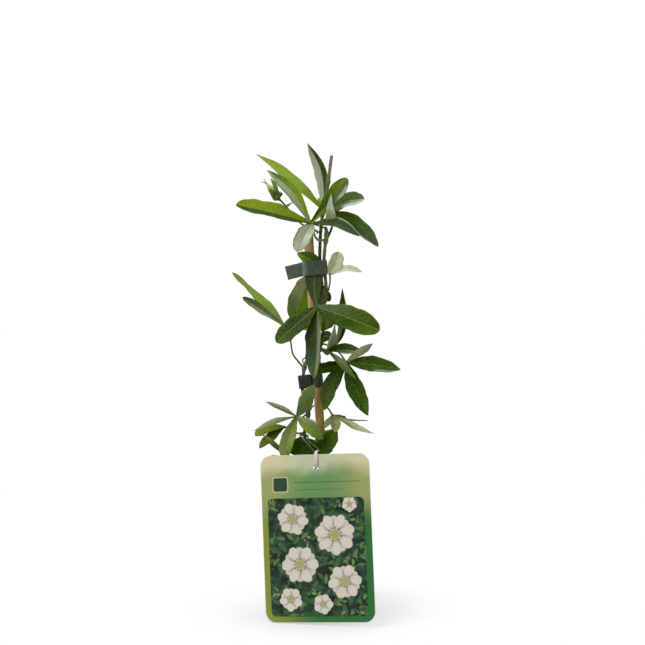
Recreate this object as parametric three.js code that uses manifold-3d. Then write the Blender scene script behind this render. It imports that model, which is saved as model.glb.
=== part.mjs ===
// A young passion flower vine tied to a bamboo cane in a small nursery pot, with a
// hanging label card that stands in front of the pot. Millimetres, +Z up, -Y is the front.
// The origin lies on the surface that the pot stands on, near the foot of the vine.
//
// Built with three.js geometry, and with manifold-3d where pieces are cut or joined.

import * as THREE from "three";
import { mergeVertices } from "three/addons/utils/BufferGeometryUtils.js";
import Module from "manifold-3d";

const wasm = await Module();
wasm.setup();

// ---------------------------------------------------------------- driving dimensions

const GAP = 0.3; // between pieces that touch

const POT = {
  centre: [-3, -6],
  height: 80,
  baseRadius: 30.5,
  wallRadius: 39.6, // under the rim
  rimRadius: 42.5,
  rimHeight: 8,
  rimWall: 2.5,
  wall: 1.3,
  floor: 3,
  edge: 0.7, // the rounding of its edges
  drainHoles: 6,
  drainRadius: 3,
  drainCircle: 21,
  sides: 32,
};

const SOIL = {
  surface: 71.5, // height at the pot's wall
  mound: 1.5, // how much higher its middle lies
  lump: 0.4,
  rings: [1, 0.84, 0.68, 0.52, 0.36, 0.2], // shares of its radius
  sides: 28,
};

const CANE = {
  // Where its axis crosses the two heights of its ends.
  foot: [9.3, 0, 8],
  top: [-9.8, 0, 317.8],
  footRadius: 3.45,
  topRadius: 4.05,
  joints: [0.08, 0.37, 0.665], // shares of its length
  jointSwell: 0.5,
  jointReach: 3.2, // from a joint to where its swelling ends
  ridge: 0.8, // from a joint's groove to the ridge on either side
  groove: 0.15,
  edge: 0.3,
  sides: 12,
};

const STEM_RADIUS = 1.15;
const SHOOT_RADIUS = 1.1;
const PETIOLE_RADIUS = 0.75;
const HUB_SWELL = 0.6;
const TENDRIL_RADIUS = 0.45;
const THIN_STALK_RADIUS = 0.6;

const BLADE_THICKNESS = 0.7;

const CARD = {
  width: 92,
  height: 136,
  thickness: 0.8,
  cornerRadius: 9,
  foot: [0.5, -59.5], // plan position of the middle of its lower edge
  turn: -15, // degrees about the vertical: its right side comes forward
  lean: 5.5, // degrees back against the pot rim
  roll: 3.8, // degrees: its top leans to the left
  lift: 0.1, // above the surface
  slotAcross: 1.5,
  slotUp: 125.5,
  slotWidth: 5.4,
  slotHeight: 2.6,
};

const TIE = { width: 3.1, thickness: 0.6, stepsPerStation: 3 };

// The two clips of folded tape. Their bands are rounded oblongs, given about the middle.
const CLIP_WALL = 0.8;
const UPPER_CLIP = {
  middle: [-4, -1.5, 289.5],
  height: 10.6,
  tilt: -5, // degrees
  band: { left: -11, right: 10.4, front: -7.6, back: 7.6, corner: 2.6 },
  tail: { root: [-10, -1], end: [-24.6, 2.4], droop: -9, narrower: 0.4 },
};
const LOWER_CLIP = {
  middle: [0, 0, 194.5],
  height: 9.4,
  tilt: -4,
  loop: { left: -17.6, front: -4.6, back: 4.4, corner: 1.6 },
  caneX: -2.25,
  caneGap: 0.1,
};

// ---------------------------------------------------------------- routes and leaves

// The main stem, from its root in the soil to its cut tip.
const MAIN_STEM = [
  [-8, 1, 52],
  [-8.4, 0, 90],
  [-10.5, -1, 118],
  [-12, -2, 139],
  [-13, -2.4, 150],
  [-10, -2.8, 166],
  [-14.6, -1, 184.6],
  [-14.3, 0, 194],
  [-13.2, 1.4, 205],
  [-10.5, 5.6, 211.5],
  [-5, 8.2, 214.6],
  [-0.7, 7.2, 218],
  [0.6, 4.6, 224],
  [2, 2.6, 231],
  [3.2, 1, 240],
  [3.4, 0.2, 252],
  [2.2, 0.4, 270],
  [0, 0.6, 291],
  [0.2, 0.8, 312],
  [1.7, 1, 330],
  [5, 1, 349],
  [7, 1, 362],
  [9.7, 1, 382.3],
];
// Where a leaf or a shoot leaves the main stem, it is swollen.
const STEM_KNUCKLES = [
  [-12.2, -2, 139.4],
  [-10, -2.8, 166],
  [-13.2, 1.4, 204.6],
  [1, 4, 225.4],
  [3.4, 0.2, 252],
  [2.6, 1, 335],
  [7, 1, 361],
];
const KNUCKLE_SWELL = 0.8;
// A small tendril curls in front of the lower bend.
const STEM_TENDRIL = [
  [-13.2, 0.6, 204.6],
  [-13.4, -2, 207.4],
  [-11.2, -3.4, 211],
  [-12.4, -4, 213.4],
  [-14.6, -3.6, 211.6],
  [-13.6, -3, 208.6],
  [-11.4, -2.8, 206.6],
];

// The green side shoot beside it, with its thin dark stalk, a curled tendril and a stipule.
const SIDE_SHOOT = [
  [5.2, -1.4, 263],
  [4.9, -2.2, 275],
  [3.6, -2.4, 289],
  [3.4, -2.6, 297],
  [4.2, -2.7, 307],
  [5.6, -3, 318],
  [4.6, -4, 322.5],
];
const SHOOT_KNUCKLE = [4.8, -2.8, 311.5];
const THIN_STALK = [
  [5, -2.7, 311.5],
  [8.6, 2.4, 319],
  [11.4, 10.4, 327],
  [14.6, 12.6, 336],
  [18, 12, 346],
  [20.6, 11, 356],
];
const SHOOT_TENDRIL = [
  [4.4, -3.2, 311.8],
  [2.3, -4.6, 312.1],
  [-1.2, -5.6, 312],
  [-3.8, -6.2, 314.6],
  [-5, -6.4, 318],
  [-4.2, -5.6, 320.2],
  [-2.2, -5.2, 319.4],
  [-2.4, -5.8, 317.4],
];
const STIPULE = { midrib: [[5.6, -2, 269.4], [6.9, -3.4, 265.4], [7.4, -4, 260.6]], width: 5 };

const FRONT = [0, -1, 0.15];
const FRONT_UP = [0, -0.75, 0.66];

// Every leaf is a stalk and its lobes, which meet at the hub. A lobe's row holds the
// points of its midrib after the hub, its greatest width, the way its upper face looks
// and how far its two halves fold up from the midrib, in degrees.
const LEAVES = {
  // The crown.
  leaf_crown_front: {
    stalk: [[3.84, -5.12, 322.24], [0, -8, 323.6]],
    hub: [-7.6, -9, 326],
    lobes: [
      [[[-40.8, -16, 335.2], [-69.4, -20, 341]], 17, FRONT_UP, 25],
      [[[-22.2, -10, 351.2], [-44.1, -7, 370.4]], 11, [-0.3, -0.9, 0.3], 16],
      [[[8.2, -13, 344.8], [22.6, -14, 363.2]], 12.5, [0.3, -0.8, 0.5], 16],
      [[[10.4, -15.5, 325.6], [31.2, -20, 314.6]], 11.5, [0, -0.62, 0.78], 10],
      [[[-12.2, -24, 314.6], [-18, -36, 301.4]], 13.5, [0, -0.7, 0.72], 14],
      // A narrow pale one that stands up beside the right-hand lobe.
      [[[6.6, -15, 327.6], [8, -15.8, 338], [9.4, -15, 351]], 6.4, [0.25, 0.95, 0.1], 8],
    ],
  },
  leaf_crown_back: {
    stalk: [[3.2, 3.1, 335.1]],
    hub: [4.2, 7.5, 336.3],
    lobes: [
      [[[-28.7, 12, 366.8], [-53.6, 12, 384.4]], 12.5, [0.2, -0.7, 0.7], 14],
      [[[0.8, 8.5, 370.6], [-10.6, 6, 393.4]], 12.6, [-0.35, -0.93, 0.1], 30],
      [[[22, 3, 344.6], [37.1, 0, 346.6]], 16, [0, -0.8, 0.6], 16],
      [[[28.7, 6, 326.4], [49.2, 4, 306.6]], 14.5, [0.3, -0.85, 0.4], 14],
      [[[4, 26, 345], [2, 44, 348]], 13, [0.1, 0.2, 1], 14],
    ],
  },
  // The middle.
  leaf_middle_front: {
    stalk: [[3.55, -1.45, 246], [1.4, -7, 249.6]],
    hub: [-2.5, -12, 254.8],
    lobes: [
      [[[-4.2, -8, 269.8], [-4.8, -6.4, 284.9], [-7.4, -6.2, 294.8], [-19.2, -6.6, 301.4]],
        13, [0, -1, 0.1], 6],
      [[[21.4, -20, 248.6], [49.2, -24, 237.6]], 21, [0, -0.95, 0.3], 10],
      [[[-22.2, -20, 240], [-36, -24, 227.6]], 16, [-0.1, -0.95, 0.3], 12],
      [[[-3.9, -17, 226], [-4.6, -15, 197]], 19, [-0.67, -0.74, 0], 26],
    ],
  },
  leaf_middle_back: {
    stalk: [[3.37, 2.66, 241.66], [-3, 9, 243], [-9, 12, 240]],
    hub: [-15.2, 13, 237.8],
    lobes: [
      [[[-20.2, 13, 252], [-13.5, 12, 281.2]], 17.2, [-0.15, -0.97, 0.1], 12],
      [[[-1.7, 15, 242.4], [12.8, 14.6, 243.2]], 16.5, [0, -1, 0.2], 8],
      [[[-15, 30, 246], [-17, 46, 252]], 13, [0, 0.1, 1], 12],
    ],
  },
  leaf_far_left: {
    stalk: [[-14.89, 1.96, 205.73], [-18, 4, 209.4], [-23, 7, 216], [-25.2, 8, 227.6]],
    hub: [-30.3, 8, 239.4],
    lobes: [
      [[[-52.3, 8, 263.4], [-74.2, 6, 285]], 13, [0.25, -0.45, 0.85], 14],
      [[[-48, 3, 252.8], [-64.9, -2, 264]], 12, [0.1, -0.5, 0.86], 12],
      [[[-30, 28, 240], [-28, 47, 237]], 12, [0, 0.15, 1], 12],
    ],
  },
  leaf_pale_right: {
    stalk: [[6.92, -2.67, 269.8], [8, -4.4, 275], [8.4, -5.6, 279]],
    hub: [8.2, -6.4, 283.6],
    lobes: [
      [[[13.4, -7.4, 293.4], [15.4, -6.6, 302.4]], 12, [0.15, -0.95, 0.2], 12],
      [[[21.9, -9, 288.2], [35.4, -11, 285.6]], 8.5, [0, -0.65, 0.75], 12],
    ],
  },
  leaf_lower_back: {
    stalk: [[0.52, 7.85, 218.37]],
    hub: [6.2, 9, 219],
    lobes: [
      [[[11, 7.6, 229.4], [12.6, 8, 243.4]], 9, [0.2, -0.95, 0.2], 8],
      [[[17.7, 13, 243], [19.2, 14, 271.6]], 12, [-0.85, -0.4, 0.2], 12],
      [[[21, 8, 221], [35, 5, 220]], 11, [0, -0.5, 0.86], 12],
      [[[11, 0, 215.4], [17.4, -12, 209.4], [30, -17, 196.6]], 11, [0.45, -0.75, 0.5], 12],
      [[[8, 7.4, 229], [3.4, 6.4, 231.5]], 7, [0, -1, 0.3], 8],
      [[[7, 28, 218], [6, 44, 212]], 12, [0, 0.2, 1], 12],
    ],
  },
  leaf_right: {
    stalk: [[1.36, 6.14, 224.51], [5, 14.4, 223.4], [12, 15, 220], [16, 9.6, 217], [19.2, 1.6, 213.6]],
    hub: [21.7, -6, 209.9],
    lobes: [
      [[[32, -3, 215.8], [44.4, 2, 225]], 11, [-0.3, -0.4, 0.85], 14],
      [[[45.6, -10, 208.4], [67.2, -13, 204.4]], 13.5, [0, -0.75, 0.66], 16],
      [[[28.8, -12, 189], [40, -16, 166]], 15.5, [0.2, -0.95, 0.2], 12],
      [[[8.2, -11, 189], [3.6, -14, 170.4]], 13.5, [-0.15, -0.95, 0.2], 12],
      [[[8.2, -8.6, 206], [-6.4, -8.8, 204]], 10, [0, -0.9, 0.4], 8],
    ],
  },
  // The foot of the vine.
  leaf_low_right: {
    stalk: [[-8.94, -1.65, 168.57], [-5.6, 4.8, 172], [0, 7, 173.4], [6.3, 4.4, 170.4]],
    hub: [10.5, -1.6, 165],
    lobes: [
      [[[24.4, -5, 158.2], [44.4, -8, 150.4]], 8.5, [0.2, 0.6, 0.75], 12],
      [[[25.4, 4, 161.4], [40.5, 6, 160]], 9, [0, 0.15, 1], 10],
      [[[12, -12, 159.4], [11.7, -22, 153.2]], 10.5, [0.5, 0.35, 0.8], 14],
      [[[7.2, -8, 159.4], [4, -13, 154.6]], 7.5, [-0.3, -0.3, 0.9], 8],
      [[[16, 18, 161], [20, 32, 156]], 11, [0, 0.2, 1], 10],
    ],
  },
  leaf_low_left: {
    stalk: [[-11.84, -3.96, 165.61], [-15, -8.4, 164]],
    hub: [-19.4, -12.4, 165],
    lobes: [
      [[[-14, -13.4, 176.8], [-4.2, -13.4, 190.2]], 12.5, [0.1, -0.95, 0.3], 12],
      [[[-30.6, -10, 170.4], [-45.4, -8, 176.9]], 8, [0, -0.45, 0.9], 12],
      [[[-37.5, -15, 160.5], [-55, -17, 153.4]], 9, [0, -0.6, 0.8], 14],
      [[[-25.2, -19, 152], [-29.8, -26, 127]], 13, [-0.2, -0.9, 0.35], 12],
      [[[-7.6, -19, 156], [2.4, -24, 146.6]], 13.5, [0.1, -0.9, 0.4], 12],
    ],
  },
  leaf_low_far_left: {
    stalk: [[-14.4, -2.6, 149.8], [-20, -3.6, 150]],
    hub: [-29.8, -5, 155.4],
    lobes: [
      [[[-43.8, -6, 154.1], [-54.6, -8, 148.6]], 9.5, [0, -0.6, 0.8], 12],
      [[[-40.8, -9, 147], [-50.8, -12, 138.3]], 11, [0, -0.5, 0.85], 14],
      [[[-31, 10, 153], [-33, 26, 150]], 11, [0, 0.2, 1], 12],
    ],
  },
  leaf_foot: {
    stalk: [[-10.7, -3.1, 122.9], [-8, -6.6, 128]],
    hub: [-4.2, -9.6, 132.8],
    lobes: [
      [[[4.6, -12.6, 142.6], [14, -15.4, 154.8]], 17, [0.2, -0.85, 0.45], 12],
      [[[-14.8, -14, 136.4], [-24.6, -14.6, 143.6]], 14, [0, -0.85, 0.45], 12],
    ],
  },
  leaf_foot_left: {
    stalk: [[-12.3, -0.23, 128], [-17, -1, 128.4]],
    hub: [-24, -8, 129.6],
    lobes: [
      [[[-37.2, -17, 140.8], [-48, -19.4, 151]], 7, [0.35, -0.6, 0.7], 12],
      [[[-34, 6, 129], [-42, 18, 124]], 12, [0, 0.1, 1], 10],
    ],
  },
  leaf_foot_back: {
    stalk: [[-9.1, 0.9, 112], [-5.4, 6, 117]],
    hub: [0, 10, 122],
    lobes: [
      [[[14, 16, 124], [26, 18, 118]], 13, [0, -0.1, 1], 12],
      [[[9, 24, 126], [18, 36, 121]], 13, [0, 0.1, 1], 12],
      [[[-6, 24, 127], [-12, 40, 124]], 13, [0, 0.1, 1], 12],
    ],
  },
};

// A lobe's outline: shares of its length, and of its greatest width.
const LOBE_OUTLINE = [
  [0, 0.16],
  [0.12, 0.42],
  [0.3, 0.8],
  [0.5, 1],
  [0.7, 0.93],
  [0.88, 0.56],
  [1, 0.1],
];

// The flower bud on its stalk: base and tip of the closed bud.
const BUD = {
  stalk: [
    [-0.5, -0.45, 318.6],
    [-8, -3, 321.6],
    [-16, -3, 326],
    [-25.3, -2.4, 336.5],
    [-32.6, -2.2, 344.8],
  ],
  base: [-34.8, -2.2, 346.4],
  tip: [-44.2, -2.6, 358.8],
  radius: 3.5,
  // Shares of its radius and of its length.
  profile: [[0, -0.08], [0.6, -0.03], [1, 0.12], [0.96, 0.28], [0.72, 0.55], [0.56, 0.8], [0, 1]],
  sides: 9,
  awns: [[-48.8, -4, 360.8], [-46.5, -2, 362.7]],
  // The last bract is long and pointed.
  bractTips: [[-42.2, -5.4, 355], [-36.6, -5.6, 353.7], [-41.3, -1, 363.9]],
  bractWidth: 5.6,
  bractBulge: 1.2,
  knob: [-32.9, -1.6, 350.4],
  knobRadius: 1.8,
};

// ---------------------------------------------------------------- solids

const vector = (p) => new THREE.Vector3(...p);

// A closed three.js geometry as a manifold-3d solid.
function solidOf(geometry) {
  const bare = geometry.clone();
  bare.deleteAttribute("normal");
  bare.deleteAttribute("uv");
  const merged = mergeVertices(bare, 1e-4);
  return new wasm.Manifold(
    new wasm.Mesh({
      numProp: 3,
      vertProperties: merged.attributes.position.array,
      triVerts: new Uint32Array(merged.index.array),
    }),
  );
}

// A manifold-3d solid as a three.js geometry.
function geometryOf(solid) {
  const mesh = solid.getMesh();
  const geometry = new THREE.BufferGeometry();
  geometry.setAttribute("position", new THREE.BufferAttribute(mesh.vertProperties, 3));
  geometry.setIndex(new THREE.BufferAttribute(mesh.triVerts, 1));
  geometry.computeVertexNormals();
  return geometry;
}

function joined(geometries) {
  return geometryOf(geometries.map(solidOf).reduce((whole, next) => whole.add(next)));
}

function cut(geometry, cutters) {
  return geometryOf(cutters.map(solidOf).reduce((left, hole) => left.subtract(hole), solidOf(geometry)));
}

// A regular polygon of the given corner radius, as the section of a tube.
function polygon(radius, sides) {
  const shape = new THREE.Shape();
  for (let i = 0; i < sides; i++) {
    const angle = (i / sides) * 2 * Math.PI;
    const [x, y] = [radius * Math.cos(angle), radius * Math.sin(angle)];
    if (i) shape.lineTo(x, y);
    else shape.moveTo(x, y);
  }
  shape.closePath();
  return shape;
}

function tube(points, radius, sides, steps) {
  const route = new THREE.CatmullRomCurve3(points.map(vector), false, "centripetal");
  return new THREE.ExtrudeGeometry(polygon(radius, sides), {
    steps,
    bevelEnabled: false,
    extrudePath: route,
  });
}

function bead(centre, radius) {
  return new THREE.IcosahedronGeometry(radius, 0).translate(...centre);
}

// A solid of revolution about Z from [radius, height] pairs that start and end on the axis.
function turned(profile, sides) {
  const points = profile.map(([r, z]) => new THREE.Vector2(r, z));
  return new THREE.LatheGeometry(points, sides).rotateX(Math.PI / 2);
}

// A blade along a midrib. Each station has the left edge, the midrib and the right edge,
// on the upper face and then on the lower one.
function blade(midrib, width, face, foldDegrees) {
  const curve = new THREE.CatmullRomCurve3(midrib.map(vector), false, "centripetal");
  const looks = vector(face);
  const fold = THREE.MathUtils.degToRad(foldDegrees);
  const positions = [];
  for (const [along, wide] of LOBE_OUTLINE) {
    const centre = curve.getPointAt(along);
    const forward = curve.getTangentAt(along);
    const up = looks.clone().addScaledVector(forward, -looks.dot(forward)).normalize();
    const side = new THREE.Vector3().crossVectors(forward, up);
    const half = (width * wide) / 2;
    for (const level of [0.5, -0.5])
      for (const across of [1, 0, -1]) {
        const point = centre
          .clone()
          .addScaledVector(side, across * half * Math.cos(fold))
          .addScaledVector(up, Math.abs(across) * half * Math.sin(fold))
          .addScaledVector(up, level * BLADE_THICKNESS);
        positions.push(point.x, point.y, point.z);
      }
  }
  const [L, M, R, LOW] = [0, 1, 2, 3];
  const triangles = [];
  const quad = (a, b, c, d) => triangles.push(a, b, c, a, c, d);
  const last = (LOBE_OUTLINE.length - 1) * 6;
  for (let i = 0; i < last; i += 6) {
    const j = i + 6;
    // Both faces have the same diagonals.
    triangles.push(i + M, i + L, j + L, i + M, j + L, j + M);
    triangles.push(i + R, i + M, j + M, i + R, j + M, j + R);
    triangles.push(i + M + LOW, j + L + LOW, i + L + LOW, i + M + LOW, j + M + LOW, j + L + LOW);
    triangles.push(i + R + LOW, j + M + LOW, i + M + LOW, i + R + LOW, j + R + LOW, j + M + LOW);
    quad(i + L, i + L + LOW, j + L + LOW, j + L);
    quad(i + R, j + R, j + R + LOW, i + R + LOW);
  }
  quad(L, M, M + LOW, L + LOW);
  quad(M, R, R + LOW, M + LOW);
  quad(last + L, last + L + LOW, last + M + LOW, last + M);
  quad(last + M, last + M + LOW, last + R + LOW, last + R);
  const geometry = new THREE.BufferGeometry();
  geometry.setAttribute("position", new THREE.Float32BufferAttribute(positions, 3));
  geometry.setIndex(triangles);
  return geometry;
}

// ---------------------------------------------------------------- pot, soil and cane

function potGeometry() {
  const { height, baseRadius, wallRadius, rimRadius, rimHeight, rimWall, wall, floor, edge } = POT;
  const shell = turned(
    [
      [0, 0],
      [baseRadius - edge, 0],
      [baseRadius, edge],
      [wallRadius, height - rimHeight],
      [rimRadius, height - rimHeight + edge],
      [rimRadius, height - edge],
      [rimRadius - edge, height],
      [rimRadius - rimWall + edge, height],
      [rimRadius - rimWall, height - edge],
      [wallRadius - wall, height - rimHeight],
      [baseRadius - wall, floor],
      [0, floor],
    ],
    POT.sides,
  );
  const drains = Array.from({ length: POT.drainHoles }, (_, i) => {
    const angle = (i / POT.drainHoles) * 2 * Math.PI;
    return new THREE.CylinderGeometry(POT.drainRadius, POT.drainRadius, 3 * floor, 8)
      .rotateX(Math.PI / 2)
      .translate(POT.drainCircle * Math.cos(angle), POT.drainCircle * Math.sin(angle), floor / 2);
  });
  return cut(shell, drains);
}

// The height of the soil's surface at a plan distance from the pot's axis, with its lumps.
function soilHeight(radius, x, y) {
  const lumps = Math.sin(x * 0.9 + 1.3) * Math.cos(y * 0.8) + Math.sin(x * 0.37 - y * 0.52 + 2);
  return SOIL.surface + SOIL.mound * (1 - radius / POT.wallRadius) + SOIL.lump * lumps;
}

function soilGeometry(caneHole, stemHole) {
  const { floor, wall, baseRadius, wallRadius, height, rimHeight } = POT;
  const slope = (wallRadius - baseRadius) / (height - rimHeight - floor);
  const inner = (z) => baseRadius - wall + slope * (z - floor) - GAP;
  const brim = inner(SOIL.surface);
  const rings = SOIL.rings.map((share) => [brim * share, SOIL.surface]);
  const plug = turned(
    [[0, floor + GAP], [inner(floor) - GAP, floor + GAP], ...rings, [0, SOIL.surface]],
    SOIL.sides,
  );
  const position = plug.attributes.position;
  for (let i = 0; i < position.count; i++) {
    const [x, y] = [position.getX(i), position.getY(i)];
    const radius = Math.hypot(x, y);
    if (position.getZ(i) < SOIL.surface || radius > brim - 1) continue;
    position.setZ(i, soilHeight(radius, x, y));
  }
  plug.translate(...POT.centre, 0);
  return cut(plug, [caneHole, stemHole]);
}

// A bamboo cane along its own Z, swollen at its joints.
function caneGeometry(length) {
  const { edge, jointSwell, jointReach, ridge, groove } = CANE;
  const radiusAt = (share) => THREE.MathUtils.lerp(CANE.footRadius, CANE.topRadius, share);
  const profile = [[0, 0], [radiusAt(0) - edge, 0], [radiusAt(0), edge]];
  for (const share of CANE.joints) {
    const [r, z] = [radiusAt(share), share * length];
    profile.push([r, z - jointReach], [r + jointSwell, z - ridge], [r - groove, z]);
    profile.push([r + jointSwell, z + ridge], [r, z + jointReach]);
  }
  profile.push([radiusAt(1), length - edge], [radiusAt(1) - edge, length], [0, length]);
  return turned(profile, CANE.sides);
}

// ---------------------------------------------------------------- clips, card and tie

function ovalPath(PathClass, x0, x1, y0, y1, radius) {
  const path = new PathClass();
  path.moveTo(x0 + radius, y0);
  path.lineTo(x1 - radius, y0);
  path.absarc(x1 - radius, y0 + radius, radius, -Math.PI / 2, 0);
  path.lineTo(x1, y1 - radius);
  path.absarc(x1 - radius, y1 - radius, radius, 0, Math.PI / 2);
  path.lineTo(x0 + radius, y1);
  path.absarc(x0 + radius, y1 - radius, radius, Math.PI / 2, Math.PI);
  path.lineTo(x0, y0 + radius);
  path.absarc(x0 + radius, y0 + radius, radius, Math.PI, 1.5 * Math.PI);
  return path;
}

// A closed band seen from above, as a prism of the given height centred on its middle.
function band({ left, right, front, back, corner }, height) {
  const wall = CLIP_WALL;
  const shape = ovalPath(THREE.Shape, left, right, front, back, corner);
  shape.holes.push(
    ovalPath(THREE.Path, left + wall, right - wall, front + wall, back - wall, corner - wall),
  );
  const options = { depth: height, bevelEnabled: false, curveSegments: 5 };
  return new THREE.ExtrudeGeometry(shape, options).translate(0, 0, -height / 2);
}

// A strip of tape seen from above, from point to point, as a prism.
function strip(from, to, height) {
  const [a, b] = [new THREE.Vector2(...from), new THREE.Vector2(...to)];
  const length = a.distanceTo(b);
  const middle = a.clone().add(b).multiplyScalar(0.5);
  return new THREE.BoxGeometry(length, CLIP_WALL, height)
    .rotateZ(b.clone().sub(a).angle())
    .translate(middle.x, middle.y, 0);
}

// Tape folded once round the cane, both stems and a lobe, with its free end to the left.
function upperClipGeometry() {
  const { height, tail } = UPPER_CLIP;
  const [rootX] = tail.root;
  const end = strip(tail.root, tail.end, height - tail.narrower)
    .translate(-rootX, 0, 0)
    .rotateY(THREE.MathUtils.degToRad(tail.droop))
    .translate(rootX, 0, 0);
  return joined([band(UPPER_CLIP.band, height), end]);
}

// A loop round the stem and a tight ring round the cane, seen from above.
function lowerClipGeometry() {
  const { height, loop, caneX, caneGap } = LOWER_CLIP;
  const ring = CANE.topRadius + CLIP_WALL + caneGap;
  const round = { left: caneX - ring, right: caneX + ring, front: -ring, back: ring };
  return joined([
    band({ ...loop, right: round.left + CLIP_WALL }, height),
    band({ ...round, corner: ring - 0.05 }, height),
  ]);
}

function cardGeometry() {
  const { width, height, thickness, cornerRadius } = CARD;
  const { slotAcross, slotUp, slotWidth, slotHeight } = CARD;
  const shape = ovalPath(THREE.Shape, -width / 2, width / 2, 0, height, cornerRadius);
  const [x, y] = [slotAcross - slotWidth / 2, slotUp - slotHeight / 2];
  shape.holes.push(ovalPath(THREE.Path, x, x + slotWidth, y, y + slotHeight, slotHeight / 2 - 0.1));
  return new THREE.ExtrudeGeometry(shape, { depth: thickness, bevelEnabled: false, curveSegments: 6 })
    .translate(0, 0, -thickness / 2)
    .rotateX(Math.PI / 2);
}

// The card's own frame: X across it, -Y out of its printed face, Z up it.
function cardFrame() {
  const frame = new THREE.Group();
  const [turn, lean, roll] = [CARD.turn, CARD.lean, CARD.roll].map(THREE.MathUtils.degToRad);
  const { width, cornerRadius, foot, lift } = CARD;
  // How far the lower left corner would otherwise dip below the surface.
  const dip = (width / 2 - cornerRadius) * Math.sin(roll) + cornerRadius * (1 - Math.cos(roll));
  frame.position.set(...foot, dip + lift);
  frame.rotation.set(-lean, -roll, turn, "ZXY");
  frame.updateMatrixWorld(true);
  return frame;
}

// The tie is a flat strip on a closed route: through the card's slot, up its front, over
// its top edge, back to the stem, round it, and down behind the card. It lies flat on the
// card and stands on edge round the stem, so each point comes with the way its width runs.
function tieGeometry(frame) {
  const { slotAcross, slotUp, height } = CARD;
  const onCard = (x, out, up) => frame.localToWorld(new THREE.Vector3(x, -out, up));
  const across = new THREE.Vector3(1, 0, 0).transformDirection(frame.matrixWorld);
  const upright = vector([0, 0, -1]);
  const twisted = vector([0.67, 0.31, -0.67]);
  const stations = [
    [onCard(slotAcross, 0, slotUp), across],
    [onCard(slotAcross, 1.5, slotUp + 2.4), across],
    [onCard(slotAcross + 0.2, 1.3, height - 2), across],
    [onCard(slotAcross + 0.2, -0.4, height + 1.8), across],
    [onCard(slotAcross - 0.8, -12, height + 3.6), twisted],
    [vector([-9, -22, 145.2]), upright],
    [vector([-10.2, -7, 146.6]), upright],
    [vector([-9.8, -2.4, 147]), upright],
    [vector([-12.6, 0.9, 147.4]), upright],
    [vector([-15.8, -2.4, 147.2]), upright],
    [vector([-15, -7.6, 147]), upright],
    [vector([-13, -22, 145]), upright],
    [onCard(slotAcross - 2, -12, height - 2.4), twisted],
    [onCard(slotAcross - 0.2, -2.4, slotUp + 3), across],
  ];
  const route = new THREE.CatmullRomCurve3(stations.map(([point]) => point), true, "centripetal");
  const widths = new THREE.CatmullRomCurve3(stations.map(([, way]) => way), true, "catmullrom");
  const count = TIE.stepsPerStation * stations.length;
  const positions = [];
  const triangles = [];
  for (let i = 0; i < count; i++) {
    const forward = route.getTangent(i / count);
    const way = widths.getPoint(i / count);
    way.addScaledVector(forward, -way.dot(forward)).normalize();
    const out = new THREE.Vector3().crossVectors(forward, way);
    for (const [w, t] of [[1, 1], [-1, 1], [-1, -1], [1, -1]]) {
      const corner = route
        .getPoint(i / count)
        .addScaledVector(way, (w * TIE.width) / 2)
        .addScaledVector(out, (t * TIE.thickness) / 2);
      positions.push(corner.x, corner.y, corner.z);
    }
    for (let k = 0; k < 4; k++) {
      const [a, b] = [4 * i + k, 4 * i + ((k + 1) % 4)];
      const [c, d] = [(b + 4) % (4 * count), (a + 4) % (4 * count)];
      triangles.push(a, b, c, a, c, d);
    }
  }
  const geometry = new THREE.BufferGeometry();
  geometry.setAttribute("position", new THREE.Float32BufferAttribute(positions, 3));
  geometry.setIndex(triangles);
  return geometry;
}

// ---------------------------------------------------------------- vine

function stemGeometry() {
  return joined([
    tube(MAIN_STEM, STEM_RADIUS, 6, 52),
    ...STEM_KNUCKLES.map((centre) => bead(centre, STEM_RADIUS + KNUCKLE_SWELL)),
    tube(STEM_TENDRIL, TENDRIL_RADIUS, 4, 14),
  ]);
}

function shootGeometry() {
  return joined([
    tube(SIDE_SHOOT, SHOOT_RADIUS, 6, 14),
    bead(SHOOT_KNUCKLE, SHOOT_RADIUS + KNUCKLE_SWELL),
    tube(THIN_STALK, THIN_STALK_RADIUS, 5, 10),
    tube(SHOOT_TENDRIL, TENDRIL_RADIUS, 4, 15),
    blade(STIPULE.midrib, STIPULE.width, FRONT, 8),
  ]);
}

function leafGeometry({ stalk, hub, lobes }) {
  return joined([
    tube([...stalk, hub], PETIOLE_RADIUS, 5, 2 + 2 * stalk.length),
    bead(hub, PETIOLE_RADIUS + HUB_SWELL),
    ...lobes.map(([midrib, width, face, fold]) => blade([hub, ...midrib], width, face, fold)),
  ]);
}

function budGeometry() {
  const [base, tip] = [vector(BUD.base), vector(BUD.tip)];
  const axis = tip.clone().sub(base);
  const length = axis.length();
  const body = turned(
    BUD.profile.map(([wide, along]) => [wide * BUD.radius, along * length]),
    BUD.sides,
  );
  const turnTo = new THREE.Quaternion().setFromUnitVectors(vector([0, 0, 1]), axis.clone().normalize());
  body.applyQuaternion(turnTo).translate(...BUD.base);
  const inside = base.clone().lerp(tip, 0.45);
  const outward = (point) => {
    const along = point.clone().sub(base).dot(axis) / axis.lengthSq();
    return point.clone().sub(base.clone().addScaledVector(axis, along)).normalize();
  };
  const bracts = BUD.bractTips.map((end) => {
    const out = outward(vector(end));
    const bulge = base.clone().lerp(vector(end), 0.5).addScaledVector(out, BUD.bractBulge);
    const inward = out.clone().negate().toArray();
    return blade([BUD.base, bulge.toArray(), end], BUD.bractWidth, inward, 14);
  });
  return joined([
    tube([...BUD.stalk, BUD.base], PETIOLE_RADIUS, 6, 16),
    body,
    ...bracts,
    bead(BUD.knob, BUD.knobRadius),
    ...BUD.awns.map((end) => tube([inside.toArray(), tip.toArray(), end], TENDRIL_RADIUS, 4, 4)),
  ]);
}

// ---------------------------------------------------------------- assembly

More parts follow.
